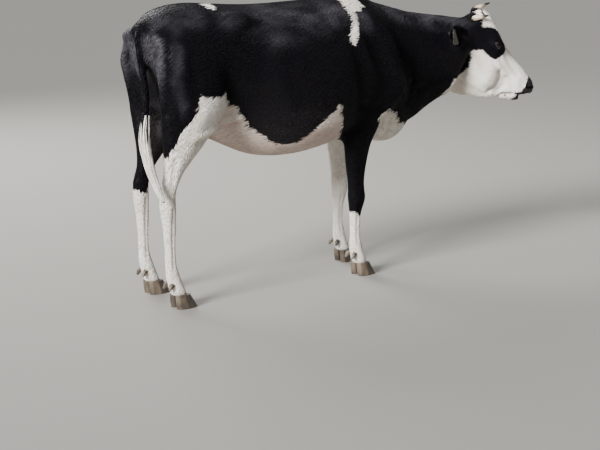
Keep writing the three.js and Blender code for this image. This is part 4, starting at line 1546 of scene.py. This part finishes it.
@dataclass
class Coat:
    """Short tufts over the whole hide, each a thin closed blade that lies along the body."""

    hide: Object
    shares: dict
    material: Material
    thin: ndarray  # a share for each vertex that cuts the number of tufts
    seed: int = 7
    patch: float = 0.0015  # half the width of a tuft's patch on the map
    most: int = 19500  # tufts in a piece
    sunk: float = 0.7  # mm that a tuft's root lies under the hide
    stray: float = 1.6  # mm that it takes its colour from beside its root
    deep: float = 0.03  # how deep in black or white hair a long lock counts

    def __post_init__(self) -> None:
        """Index the hide's surface for finding the nearest place on it."""
        faces = [tuple(p.vertices) for p in self.hide.data.polygons]
        self.tree = BVHTree.FromPolygons([tuple(v) for v in read_points(self.hide)], faces)

    def values(self, name: str) -> ndarray:
        """Read one of the hide's attributes."""
        data = self.hide.data.attributes[name].data
        return read_rows(data, "value", 1, np.float32)[:, 0].astype(float)

    def grow_roots(self) -> Roots:
        """Spread roots over the hide by each part's cover.

        Returns:
            The roots.
        """
        data = self.hide.data
        data.calc_loop_triangles()
        corner = read_rows(data.loop_triangles, "vertices", 3, np.int32)
        loops = read_rows(data.loop_triangles, "loops", 3, np.int32)
        area = read_rows(data.loop_triangles, "area", 1)[:, 0]
        uv = read_rows(data.uv_layers[MAP_NAME].data, "uv", 2)
        cover, length, width = (blend_naps(key, self.shares) for key in ("cover", "length", "width"))
        dense = cover / (length * width * MM * MM) * self.thin
        running = np.cumsum(area * dense[corner].mean(axis=1))
        rng = np.random.default_rng(self.seed)
        total = int(running[-1])
        at = np.searchsorted(running, np.arange(total) + rng.uniform(0, 1, total))
        at = np.minimum(at, len(corner) - 1)
        mix = rng.dirichlet((1, 1, 1), total)
        picked = corner[at]

        def blend(values: ndarray) -> ndarray:
            """Mix the values of a root's three corners."""
            weight = mix if values.ndim == 1 else mix[:, :, None]
            return (values[picked] * weight).sum(axis=1)

        place, normal = blend(read_points(self.hide)), unit(blend(read_normals(self.hide)))
        shares = {part: blend(self.shares[part]) for part in PARTS}
        return Roots(
            place,
            normal,
            hair_lie(place, normal, shares),
            blend(self.values("white")) + rng.normal(0, self.stray * MM, total),
            blend(self.values("bare")),
            blend(self.values("bloom")),
            (uv[loops[at]] * mix[:, :, None]).sum(axis=1),
            shares,
        )

    def map_near(self, places: ndarray) -> ndarray:
        """Find the hide's own map under each place.

        Args:
            places: Places near the hide in metres.

        Returns:
            One row of the map for each.
        """
        data = self.hide.data
        layer = data.uv_layers[MAP_NAME].data
        found = np.empty((len(places), 2))
        for i, place in enumerate(places):
            polygon = data.polygons[self.tree.find_nearest(Vector(place))[2]]
            found[i] = np.mean([layer[k].uv[:] for k in polygon.loop_indices], axis=0)
        return found

    def settle(self, places: ndarray, off: ndarray) -> tuple[ndarray, ndarray]:
        """Drop places onto the hide.

        Args:
            places: Places near it.
            off: How far off it they end, in metres.

        Returns:
            The new places and the hide's normals there.
        """
        spots = np.empty_like(places)
        normals = np.empty_like(places)
        for i, place in enumerate(places):
            spots[i], normals[i], _, _ = self.tree.find_nearest(place)
        return spots + normals * off[:, None], normals

    def blades(self, roots: Roots, name: str) -> Object:
        """Make one piece of the coat.

        Args:
            roots: Where its tufts grow.
            name: The piece's name.

        Returns:
            The piece.
        """
        count = len(roots.place)
        rng = np.random.default_rng(self.seed + count)
        length = roots.nap("length") * rng.uniform(0.75, 1.25, count)
        width = roots.nap("width") * rng.uniform(0.7, 1.25, count)
        turn = rng.normal(0, 0.13, count)[:, None]
        lie = unit(roots.lie + np.cross(roots.normal, roots.lie) * turn)
        start = roots.place - roots.normal * (self.sunk * MM)
        middle, up_middle = self.settle(
            roots.place + lie * (length * 0.5)[:, None], roots.nap("lift") * 0.45
        )
        onward = unit(middle - roots.place)
        tip, _ = self.settle(
            middle + onward * (length * 0.5)[:, None],
            roots.nap("lift") * rng.uniform(0.5, 1.4, count),
        )
        half, crown = (width * 0.5)[:, None], roots.nap("crown")[:, None]
        across_start = unit(np.cross(roots.normal, lie)) * half
        across_middle = unit(np.cross(up_middle, onward)) * half
        points = [
            start - across_start * 0.75,
            start + across_start * 0.75,
            start + roots.normal * (crown + self.sunk * MM),
            middle - across_middle,
            middle + across_middle,
            middle + up_middle * crown,
            tip,
        ]
        each = len(points)
        shade = np.clip(rng.normal(1.0, 0.09, count), 0.7, 1.25)
        values = {"white": roots.white, "bare": roots.bare, "bloom": roots.bloom, "shade": shade}
        return mesh_piece(
            name,
            np.stack(points, axis=1).reshape(-1, 3),
            (np.arange(count)[:, None, None] * each + np.array(TUFT_FACES)).reshape(-1, 3),
            (roots.uv[:, None, :] + np.array(TUFT_MAP) * self.patch).reshape(-1, 2),
            {key: np.repeat(value, each) for key, value in values.items()},
            self.material,
        )

    def regions(self, roots: Roots) -> dict[str, ndarray]:
        """Sort the roots into pieces of the coat by part and side.

        Args:
            roots: All roots.

        Returns:
            The numbers of each piece's roots.
        """
        shares = np.stack([roots.shares[name] for name in PARTS], axis=1)
        part = np.array(PARTS)[np.argmax(shares, axis=1)]
        side = np.where(roots.place[:, 1] < 0, "right", "left")
        ahead = roots.place[:, 0]
        body = np.where(ahead > -0.05, "shoulder", np.where(ahead > -0.55, "flank", "rump"))
        leg = np.where(ahead > -0.2, "fore_leg", "hind_leg")
        limb = np.isin(part, ("fore", "thigh", "cannon"))
        word = np.where(part == "trunk", body, np.where(limb, leg, part))
        word = np.where(np.isin(part, ("dock", "switch")), "tail", word)
        names = np.array([f"coat_{w}_{s}" for w, s in zip(word, side)])
        return {name: np.flatnonzero(names == name) for name in sorted(set(names))}

    def build(self) -> list[Object]:
        """Grow the whole coat.

        Returns:
            Its pieces.
        """
        roots = self.grow_roots()
        pieces = []
        for name, chosen in self.regions(roots).items():
            parts = max(1, math.ceil(len(chosen) / self.most))
            for index, block in enumerate(np.array_split(chosen, parts)):
                label = name if parts == 1 else f"{name}_{index + 1}"
                pieces.append(self.blades(roots.pick(block), label))
                LOG.info("%s: %d tufts", label, len(block))
        return pieces

    def locks(
        self, name: str, paths: ndarray, outward: ndarray, width: ndarray, white: ndarray, seed: int
    ) -> Object:
        """Make one piece of long locks, each a flat closed blade that thins to its tip.

        Args:
            name: The piece's name.
            paths: Locks by rings by three, in metres, tips last.
            outward: Locks by three, the way each lock's back faces.
            width: The width of each lock in metres.
            white: True for each white lock.
            seed: Picks the random draws.

        Returns:
            The piece, with the coat's attributes and map.
        """
        count, rings = paths.shape[:2]
        run = unit(np.gradient(paths, axis=1))
        across = unit(np.cross(run, outward[:, None, :]))
        back = np.cross(across, run)
        t = np.linspace(0, 1, rings)
        swell = (0.55 + 0.9 * np.sqrt(t) * (1 - t) + 0.2 * (1 - t)) * (1 - t**3)
        half = (0.5 * width[:, None] * swell[None, :])[:, :, None]
        edges = [paths - across * half, paths + across * half, paths + back * half * 0.55]
        rows = np.stack(edges, axis=2)[:, :-1].reshape(count, -1, 3)
        points = np.concatenate([rows, paths[:, -1:]], axis=1)
        each = points.shape[1]
        faces = [(0, 1, 2)]
        turns = ((0, 1), (1, 2), (2, 0))
        for a in range(0, 3 * (rings - 2), 3):
            for i, j in turns:
                faces += [(a + i, a + 3 + j, a + j), (a + i, a + 3 + i, a + 3 + j)]
        last, tip = 3 * (rings - 2), each - 1
        faces += [(last + i, tip, last + j) for i, j in turns]
        rng = np.random.default_rng(seed)
        spread = rng.uniform(-self.patch, self.patch, (count, each, 2))
        shade = np.clip(rng.normal(1.0, 0.1, count), 0.7, 1.25)
        none = np.zeros(count)
        values = {"white": np.where(white, self.deep, -self.deep), "bare": none, "bloom": none}
        values["shade"] = shade
        obj = mesh_piece(
            name,
            points.reshape(-1, 3),
            (np.arange(count)[:, None, None] * each + np.array(faces)).reshape(-1, 3),
            (self.map_near(paths[:, 0])[:, None, :] + spread).reshape(-1, 2),
            {key: np.repeat(value, each) for key, value in values.items()},
            self.material,
        )
        turn_outward(obj)
        return obj


def mesh_piece(
    name: str, points: ndarray, faces: ndarray, uv: ndarray, values: dict, material: Material
) -> Object:
    """Make an object from joined triangles.

    Args:
        name: Its name.
        points: Its vertices in metres.
        faces: Rows of three vertex numbers.
        uv: A place on the hide's map for each vertex.
        values: Attributes, one number for each vertex.
        material: Its material.

    Returns:
        The object, smooth-shaded and linked to the scene.
    """
    data = bpy.data.meshes.new(name)
    data.vertices.add(len(points))
    data.vertices.foreach_set("co", points.astype(np.float32).ravel())
    data.loops.add(len(faces) * 3)
    data.loops.foreach_set("vertex_index", faces.astype(np.int32).ravel())
    data.polygons.add(len(faces))
    data.polygons.foreach_set("loop_start", np.arange(0, len(faces) * 3, 3, dtype=np.int32))
    data.polygons.foreach_set("use_smooth", np.ones(len(faces), dtype=bool))
    layer = data.uv_layers.new(name=MAP_NAME)
    layer.data.foreach_set("uv", uv[faces.ravel()].astype(np.float32).ravel())
    data.update(calc_edges=True)
    obj = bpy.data.objects.new(name, data)
    bpy.context.scene.collection.objects.link(obj)
    for key, value in values.items():
        store(obj, key, value)
    data.materials.append(material)
    return obj


# ------------------------ long locks


@dataclass
class LongHair:
    """Long locks of one kind, with sizes in mm."""

    coat: Coat
    locks: int = 420
    rings: int = 6
    length: tuple[float, float] = (14, 30)
    width: tuple[float, float] = (1.4, 2.6)

    def steps(self) -> ndarray:
        """Give the places of a lock's rings, from 0 at its root to 1 at its tip."""
        return np.linspace(0, 1, self.rings)[None, :, None]

    def draw(self, rng: np.random.Generator, span: tuple[float, float]) -> ndarray:
        """Draw a size in metres for each lock from a span in mm."""
        return rng.uniform(*span, self.locks) * MM

    def black(self) -> ndarray:
        """Make no lock white."""
        return np.zeros(self.locks, dtype=bool)

    def build(self) -> list[Object]:
        """Make the locks.

        Returns:
            The pieces.
        """
        raise NotImplementedError


@dataclass
class Switch(LongHair):
    """The long wavy hair at the end of the tail."""

    line: tuple = (  # the tail's middle and radius
        (-1058, -106, 960, 18), (-1061, -118, 900, 18), (-1066, -124, 840, 19),
        (-1074, -120, 790, 20), (-1079, -122, 740, 21.5), (-1077, -130, 690, 21),
        (-1071, -142, 640, 19), (-1064, -158, 590, 17), (-1056, -180, 545, 14),
        (-1048, -200, 508, 12), (-1044, -214, 485, 9),
    )
    locks: int = 1100
    rings: int = 9
    length: tuple[float, float] = (110, 250)
    width: tuple[float, float] = (3.0, 6.0)
    top: tuple[float, float] = (860, 330)  # the highest lock's start, and the spread below it
    floor: float = 484
    black_above: float = 846

    def centre(self, level: ndarray) -> tuple[ndarray, ndarray]:
        """Find the tail's middle and radius at a height, both in mm.

        Args:
            level: Heights in mm.

        Returns:
            Middles and radii.
        """
        table = np.array(self.line, float)[::-1]
        middle = np.stack([np.interp(level, table[:, 2], table[:, k]) for k in (0, 1)], axis=-1)
        radius = np.interp(level, table[:, 2], table[:, 3])
        return np.concatenate([middle, level[..., None]], axis=-1), radius

    def build(self) -> list[Object]:
        """Hang the locks round the tail's end.

        Returns:
            One piece.
        """
        rng = np.random.default_rng(31)
        top = self.top[0] - self.top[1] * rng.uniform(0, 1, self.locks) ** 1.15
        length = np.minimum(rng.uniform(*self.length, self.locks), top - self.floor)
        t = np.linspace(0, 1, self.rings)
        middle, radius = self.centre(top[:, None] - length[:, None] * t)
        angle = rng.uniform(0, 2 * math.pi, self.locks)
        level = np.zeros(self.locks)
        out = np.stack([np.cos(angle), np.sin(angle), level], axis=-1)
        side = np.stack([-np.sin(angle), np.cos(angle), level], axis=-1)
        swell = 0.62 + 0.5 * np.sin(math.pi * (0.1 + 0.8 * t))
        depth = rng.uniform(0.6, 1.0, self.locks)[:, None] * swell
        wave = 0.13 * np.sin(t * rng.uniform(4, 9, self.locks)[:, None] + angle[:, None])
        paths = middle + out[:, None, :] * (radius * depth)[:, :, None]
        paths = paths + side[:, None, :] * (radius * wave)[:, :, None]
        width, white = self.draw(rng, self.width), top <= self.black_above
        return [self.coat.locks("tail_switch_locks", paths * MM, out, width, white, 32)]


@dataclass
class PollTuft(LongHair):
    """The loose hair on the poll between the horns, white in front and black behind."""

    rings: int = 7
    length: tuple[float, float] = (18, 38)
    width: tuple[float, float] = (2.0, 4.0)
    along: tuple[float, float] = (-30, 22)
    out: float = 54

    def build(self) -> list[Object]:
        """Grow the tuft from the hide's own surface.

        Returns:
            One piece.
        """
        rng = np.random.default_rng(41)
        along = rng.uniform(*self.along, self.locks)
        out = rng.uniform(-self.out, self.out, self.locks)
        above = HEAD.world(np.stack([along, out, along * 0 + 60], axis=1))
        start, normal = self.coat.settle(above, np.zeros(self.locks))
        axes = HEAD.axes()
        fall = unit(
            axes[0] * 1.0
            + axes[1] * (out / 90 + rng.normal(0, 0.35, self.locks))[:, None]
            + axes[2] * rng.normal(-0.1, 0.2, self.locks)[:, None]
        )
        length, t = self.draw(rng, self.length)[:, None, None], self.steps()
        rise = normal[:, None, :] * np.sin(t * 2.4) * 0.2
        paths = start[:, None, :] + length * (fall[:, None, :] * t * (0.55 + 0.45 * t) + rise)
        paths = paths - normal[:, None, :] * MM
        black = (rng.uniform(0, 1, self.locks) < 0.05) | (along < 2) | ((np.abs(out) > 46) & (along < 8))
        return [self.coat.locks("poll_tuft", paths, normal, self.draw(rng, self.width), ~black, 42)]


@dataclass
class HornCollar(LongHair):
    """The black hair that stands round the foot of each horn and hides its edge."""

    locks: int = 190
    length: tuple[float, float] = (20, 36)
    width: tuple[float, float] = (2.4, 4.4)
    ring: tuple[float, float] = (12.5, 19)  # the roots' distance from the horn's middle
    sunk: tuple[float, float] = (4, 10)  # how far under the horn's foot they lie
    nodes: Optional[dict] = None

    def build(self) -> list[Object]:
        """Ring both horns with locks that lie along them.

        Returns:
            A piece for each horn.
        """
        pieces = []
        t = self.steps()
        for side, word in SIDES:
            rng = np.random.default_rng(81 + side)
            horn = read_points(self.nodes[f"horn_{word}"])
            out = HEAD.local(horn)[:, 1] * side
            foot = horn[out < np.quantile(out, 0.18)].mean(axis=0)
            tip = horn[np.argmax(np.linalg.norm(horn - foot, axis=1))]
            middle = horn[(out > np.quantile(out, 0.35)) & (out < np.quantile(out, 0.6))].mean(axis=0)
            axis = unit(middle - foot)
            across = unit(np.cross(axis, tip - foot + (0.0, 0.0, 0.01)))
            other = np.cross(axis, across)
            angle = rng.uniform(0, 2 * math.pi, self.locks)
            spoke = np.cos(angle)[:, None] * across + np.sin(angle)[:, None] * other
            radius = self.draw(rng, self.ring)[:, None]
            start = foot + spoke * radius - axis * rng.uniform(*self.sunk, self.locks)[:, None] * MM
            length = self.draw(rng, self.length)[:, None, None]
            lean = spoke * rng.uniform(0.0, 0.22, self.locks)[:, None]
            way = unit(axis + lean + rng.normal(0, 0.1, (self.locks, 3)))
            swell = spoke[:, None, :] * np.sin(t * 2.6) * 0.12
            paths = start[:, None, :] + length * (way[:, None, :] * t + swell)
            width, name = self.draw(rng, self.width), f"horn_collar_{word}"
            pieces.append(self.coat.locks(name, paths, spoke, width, self.black(), 83))
        return pieces


@dataclass
class EarHair(LongHair):
    """The longer hair that lines the ears and stands over their edges."""

    runs: tuple = ((-0.722, 0.581, -0.375), (-0.979, -0.202, -0.003))  # the ears' own ways

    def build(self) -> list[Object]:
        """Line both ears.

        Returns:
            A piece for each ear.
        """
        pieces = []
        points, normals = read_points(self.coat.hide), read_normals(self.coat.hide)
        t = self.steps()
        for index, (side, word) in enumerate(SIDES):
            hollow, run = np.array(EAR_HOLLOWS[index]), np.array(self.runs[index])
            on_side = (HEAD.local(points)[:, 1] > 0) == (side > 0)
            rng = np.random.default_rng(51 + index)
            fit = (self.coat.shares["ear"] > 0.8) & on_side & ((normals @ hollow) > 0.0)
            picked = rng.choice(np.flatnonzero(fit), self.locks)
            start = points[picked] + rng.normal(0, 0.8 * MM, (self.locks, 3))
            way = unit(
                run * rng.uniform(0.5, 1.1, self.locks)[:, None]
                + hollow * rng.uniform(0.15, 0.6, self.locks)[:, None]
                + rng.normal(0, 0.25, (self.locks, 3))
            )
            length = self.draw(rng, self.length)[:, None, None]
            droop = np.array([0, 0, -0.25]) * t**2
            paths = start[:, None, :] + length * (way[:, None, :] * t + droop)
            width, name = self.draw(rng, self.width), f"ear_hair_{word}"
            out = normals[picked]
            pieces.append(self.coat.locks(name, paths, out, width, self.black(), 53 + index))
        return pieces


@dataclass
class Lashes(LongHair):
    """Lashes on the upper lids, and a few on the lower ones."""

    locks: int = 70
    upper_share: float = 0.78
    upper: tuple[float, float] = (12, 19)
    lower: tuple[float, float] = (5, 8)
    thick: float = 0.7  # drawn coarse so that it shows

    def build(self) -> list[Object]:
        """Set the lashes along both eyes' lids.

        Returns:
            A piece for each eye.
        """
        pieces = []
        t = self.steps()
        for side, word in SIDES:
            rng = np.random.default_rng(61 + side)
            centre, slit, rise, gaze = EYE.frame(side)
            u = rng.uniform(-0.92, 0.92, self.locks)
            upper = rng.uniform(0, 1, self.locks) < self.upper_share
            arc = np.sqrt(1 - u**2) * EYE.half_height
            v = np.where(upper, arc, -arc * EYE.lower_half) + EYE.bend * (1 - u**2)
            u = u * EYE.half_length
            w = np.sqrt(np.maximum((EYE.radius + EYE.lid) ** 2 - u**2 - v**2, 9.0)) - 0.5
            start = centre + u[:, None] * slit + v[:, None] * rise + w[:, None] * gaze
            sign = np.where(upper, 1.0, -1.0)[:, None]
            way = unit(gaze * 0.9 + rise * sign * 0.35 + slit * (u / 30)[:, None]
                       + rng.normal(0, 0.08, (self.locks, 3)))
            length = np.where(
                upper, rng.uniform(*self.upper, self.locks), rng.uniform(*self.lower, self.locks)
            )
            curl = rise * 0.25 * (t**2) * sign[:, :, None] - rise * 0.3 * np.sin(t * 3)
            paths = HEAD.world(start[:, None, :] + length[:, None, None] * (way[:, None, :] * t + curl))
            outward = np.tile(rise @ HEAD.axes(), (self.locks, 1))
            width, name = np.full(self.locks, self.thick * MM), f"lashes_{word}"
            pieces.append(self.coat.locks(name, paths, outward, width, self.black(), 63))
        return pieces


# ------------------------ eyes, horns and hoofs


@dataclass
class Eyes:
    """Two wet eyeballs that sit behind the lids, in mm."""

    segments: int = 48
    bulge: float = 1.3
    play: float = 0.3  # gap between ball and lids
    pupil: tuple[float, float] = (8.0, 4.2)

    def build(self, finish: Material) -> None:
        """Model both balls with their bulged cornea.

        Args:
            finish: The eyes' material.
        """
        for side, word in SIDES:
            centre, slit, rise, gaze = EYE.frame(side)
            way = Vector(gaze @ HEAD.axes())
            bpy.ops.object.select_all(action="DESELECT")
            bpy.ops.mesh.primitive_uv_sphere_add(
                segments=self.segments,
                ring_count=self.segments // 2,
                radius=(EYE.radius - self.play) * MM,
                location=HEAD.world(centre),
                rotation=way.to_track_quat("Z", "Y").to_euler(),
            )
            ball = bpy.context.view_layer.objects.active
            ball.name = f"eyeball_{word}"
            bpy.ops.object.transform_apply(location=True, rotation=True, scale=True)
            points = read_points(ball)
            off = HEAD.local(points) - centre
            u, v, w = off @ slit, off @ rise, off @ gaze
            reach = np.hypot(u, v) / EYE.radius
            lift = self.bulge * MM * smoothstep(0.78, 0.3, reach) * (w > 0)
            write_points(ball, points + lift[:, None] * np.array(way))
            store(ball, "pupil", np.where(w > 0, np.hypot(u / self.pupil[0], v / self.pupil[1]), 9.0))
            store(ball, "reach", np.where(w > 0, reach, 1.0))
            shade_smooth(ball)
            dress(ball, finish, "eye", f"eye_{word}")


def rounded(node: Object, name: str, cell: float, rounds: int) -> Object:
    """Make a fine, rounded copy of a faceted node.

    Args:
        node: The CAD node.
        name: The copy's name.
        cell: Width of a remesh cell in mm.
        rounds: Smoothing steps.

    Returns:
        The copy.
    """
    copy = free_copy(node, name)
    weld(copy)
    copy.data.remesh_voxel_size = cell * MM
    bpy.ops.object.voxel_remesh()
    points = read_points(copy)
    write_points(copy, relax(points, read_edges(copy), np.ones(len(points)), rounds))
    shade_smooth(copy)
    return copy


@dataclass
class Horns:
    """Two short young horns with dark tips."""

    nodes: dict
    cell: float = 1.5
    rounds: int = 6

    def build(self, finish: Material) -> None:
        """Round both horns and mark how far each place is towards the tip.

        Args:
            finish: The horns' material.
        """
        for _, word in SIDES:
            name = f"horn_{word}"
            horn = rounded(self.nodes[name], f"horn_sheath_{word}", self.cell, self.rounds)
            rise = HEAD.local(read_points(horn))[:, 2]
            store(horn, "rise", (rise - rise.min()) / np.ptp(rise))
            dress(horn, finish, "horn", name)


@dataclass
class Hoofs:
    """Eight claws and eight dewclaws, four to a foot, rounded from their solids."""

    nodes: dict
    cell: float = 2.2
    rounds: int = 14
    sole: float = 2.4

    def build(self, finish: Material) -> None:
        """Round every claw, keep its sole flat and join the four of each foot.

        Args:
            finish: The hoofs' material.
        """
        for foot in ("fore_left", "fore_right", "hind_left", "hind_right"):
            names = [f"{kind}_{foot}_{word}" for kind in ("claw", "dewclaw") for _, word in SIDES]
            copies = []
            for name in names:
                copy = rounded(self.nodes[name], f"{name}_horn", self.cell, self.rounds)
                points = read_points(copy)
                if name.startswith("claw"):
                    points[points[:, 2] < self.sole * MM, 2] = 0.0
                write_points(copy, points)
                copies.append(copy)
            dress(join(copies, f"hoof_{foot}"), finish, "hoof_horn", *names)


# ------------------------ studio


@dataclass(frozen=True)
class FloorPaint(Finish):
    """Matt pale floor paint, rolled on."""

    name: str = "painted_studio_floor"
    grey: str = "#918e88"

    def shader(self, tree: NodeTree, place: NodeSocket) -> NodeSocket:
        """Shade the floor in one even colour."""
        paint = {"Base Color": linear(self.grey), "Roughness": 0.9, "IOR": 1.4}
        return add_node(tree, "BsdfPrincipled", paint)


@dataclass
class Studio:
    """Plain pale floor, soft light and the camera that looks at the animal's right side."""

    eye: tuple[float, float, float] = (-3.9569, -5.19, 1.61)
    azimuth: float = -36.0
    pitch: float = 12.0
    focal_pixels: float = 1400.0
    sensor: float = 36.0
    floor_size: float = 160.0
    sky: float = 0.14
    sky_colour: tuple[float, float, float, float] = (0.82, 0.9, 1, 1)
    lamps: tuple = (  # name, kind, power, width or angle, place and target
        ("overhead", "AREA", 80.0, 4.0, (-0.8, 0.4, 5.0), (0, 0, 0.9)),
        ("key", "SUN", 8.5, 0.35, (-6.0, -1.7, 4.0), (0, 0, 0.9)),
        ("fill", "AREA", 20.0, 3.5, (4.6, -3.8, 2.8), (0, 0, 0.9)),
        ("rim", "AREA", 520.0, 3.5, (-0.5, 5.2, 4.2), (0, 0, 1.1)),
    )

    def place_camera(self) -> None:
        """Create the camera and make it the scene's own."""
        data = bpy.data.cameras.new("camera")
        data.sensor_fit = "HORIZONTAL"
        data.sensor_width = self.sensor
        data.lens = self.sensor * self.focal_pixels / IMAGE_WIDTH
        data.clip_end = 400.0
        camera = bpy.data.objects.new("camera", data)
        bpy.context.scene.collection.objects.link(camera)
        camera.location = self.eye
        turn, pitch = math.radians(self.azimuth), math.radians(self.pitch)
        level = math.cos(pitch)
        ahead = Vector((-math.sin(turn) * level, math.cos(turn) * level, -math.sin(pitch)))
        camera.rotation_euler = ahead.to_track_quat("-Z", "Y").to_euler()
        bpy.context.scene.camera = camera

    def lay_floor(self) -> None:
        """Lay the pale floor that the animal stands on."""
        bpy.ops.object.select_all(action="DESELECT")
        bpy.ops.mesh.primitive_plane_add(size=self.floor_size, location=(0, 0, 0))
        floor = bpy.context.view_layer.objects.active
        floor.name = "floor"
        floor.data.materials.append(FloorPaint().make())

    def hang_lights(self) -> None:
        """Hang the lamps and light the air round the animal."""
        for name, kind, power, size, place, target in self.lamps:
            data = bpy.data.lights.new(name, kind)
            data.energy = power
            setattr(data, "size" if kind == "AREA" else "angle", size)
            light = bpy.data.objects.new(name, data)
            bpy.context.scene.collection.objects.link(light)
            light.location = place
            aim = Vector(target) - Vector(place)
            light.rotation_euler = aim.to_track_quat("-Z", "Y").to_euler()
        world = bpy.data.worlds.new("studio")
        world.use_nodes = True
        air = world.node_tree.nodes["Background"].inputs
        air["Color"].default_value = self.sky_colour
        air["Strength"].default_value = self.sky
        bpy.context.scene.world = world

    def build(self) -> None:
        """Set the whole studio up."""
        self.place_camera()
        self.lay_floor()
        self.hang_lights()


# ------------------------ all together


def dress(piece: Object, finish: Optional[Material], slot: str, *nodes: str) -> None:
    """Give a piece its finish, and let it ride on the body and stand for nodes.

    Args:
        piece: The piece.
        finish: Its material, or nothing where it has one already.
        slot: Not used.
        nodes: The CAD nodes that it replaces.
    """
    if finish:
        piece.data.materials.clear()
        piece.data.materials.append(finish)
    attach(piece, BODY)
    if nodes:
        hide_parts(*nodes)
    LOG.info("%s: %d faces", piece.name, len(piece.data.polygons))


def main() -> None:
    """Build and dress every piece in order."""
    logging.basicConfig(level=logging.INFO, format="%(message)s")
    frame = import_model()
    nodes = frame["nodes"]
    Studio().build()

    hide = Hide(nodes)
    shares = hide.build()
    points, normals = read_points(hide.obj), read_normals(hide.obj)
    skin, pelt = Skin(), Pelt()
    wet = skin.nose_pad(points, shares)
    lids = skin.lids(points)
    bare = skin.bare(points, normals, shares)
    store(hide.obj, "white", pelt.white(points, shares))
    store(hide.obj, "bare", bare)
    # painted highlight, with some dust, on the black hair
    store(hide.obj, "bloom", pelt.bloom(points, shares))
    store(hide.obj, "wet", np.maximum(wet, 0.7 * lids))
    # painted shade in the mouth's slit
    store(hide.obj, "shade", skin.shade(points, shares))
    shade_smooth(hide.obj)
    hair = CoatFinish().make()
    dress(hide.obj, hair, "black_coat", *FLESH_NODES)

    Eyes().build(EyeFinish().make())
    Horns(nodes).build(HornFinish().make())
    Hoofs(nodes).build(HoofFinish().make())
    nodes["ear_tag"].material_slots[0].material = TagFinish().make()

    thin = (1 - smoothstep(0.2, 0.7, wet)) * (1 - smoothstep(0.1, 0.6, lids))
    thin = thin * (1 - 0.6 * smoothstep(0.5, 1.0, bare))
    coat = Coat(hide.obj, shares, hair, thin)
    makers = (Switch(coat), PollTuft(coat), HornCollar(coat, nodes=nodes), EarHair(coat), Lashes(coat))
    pieces = [piece for maker in makers for piece in maker.build()]
    for piece in pieces + coat.build():
        dress(piece, None, "black_coat")


if __name__ == "__main__":
    main()
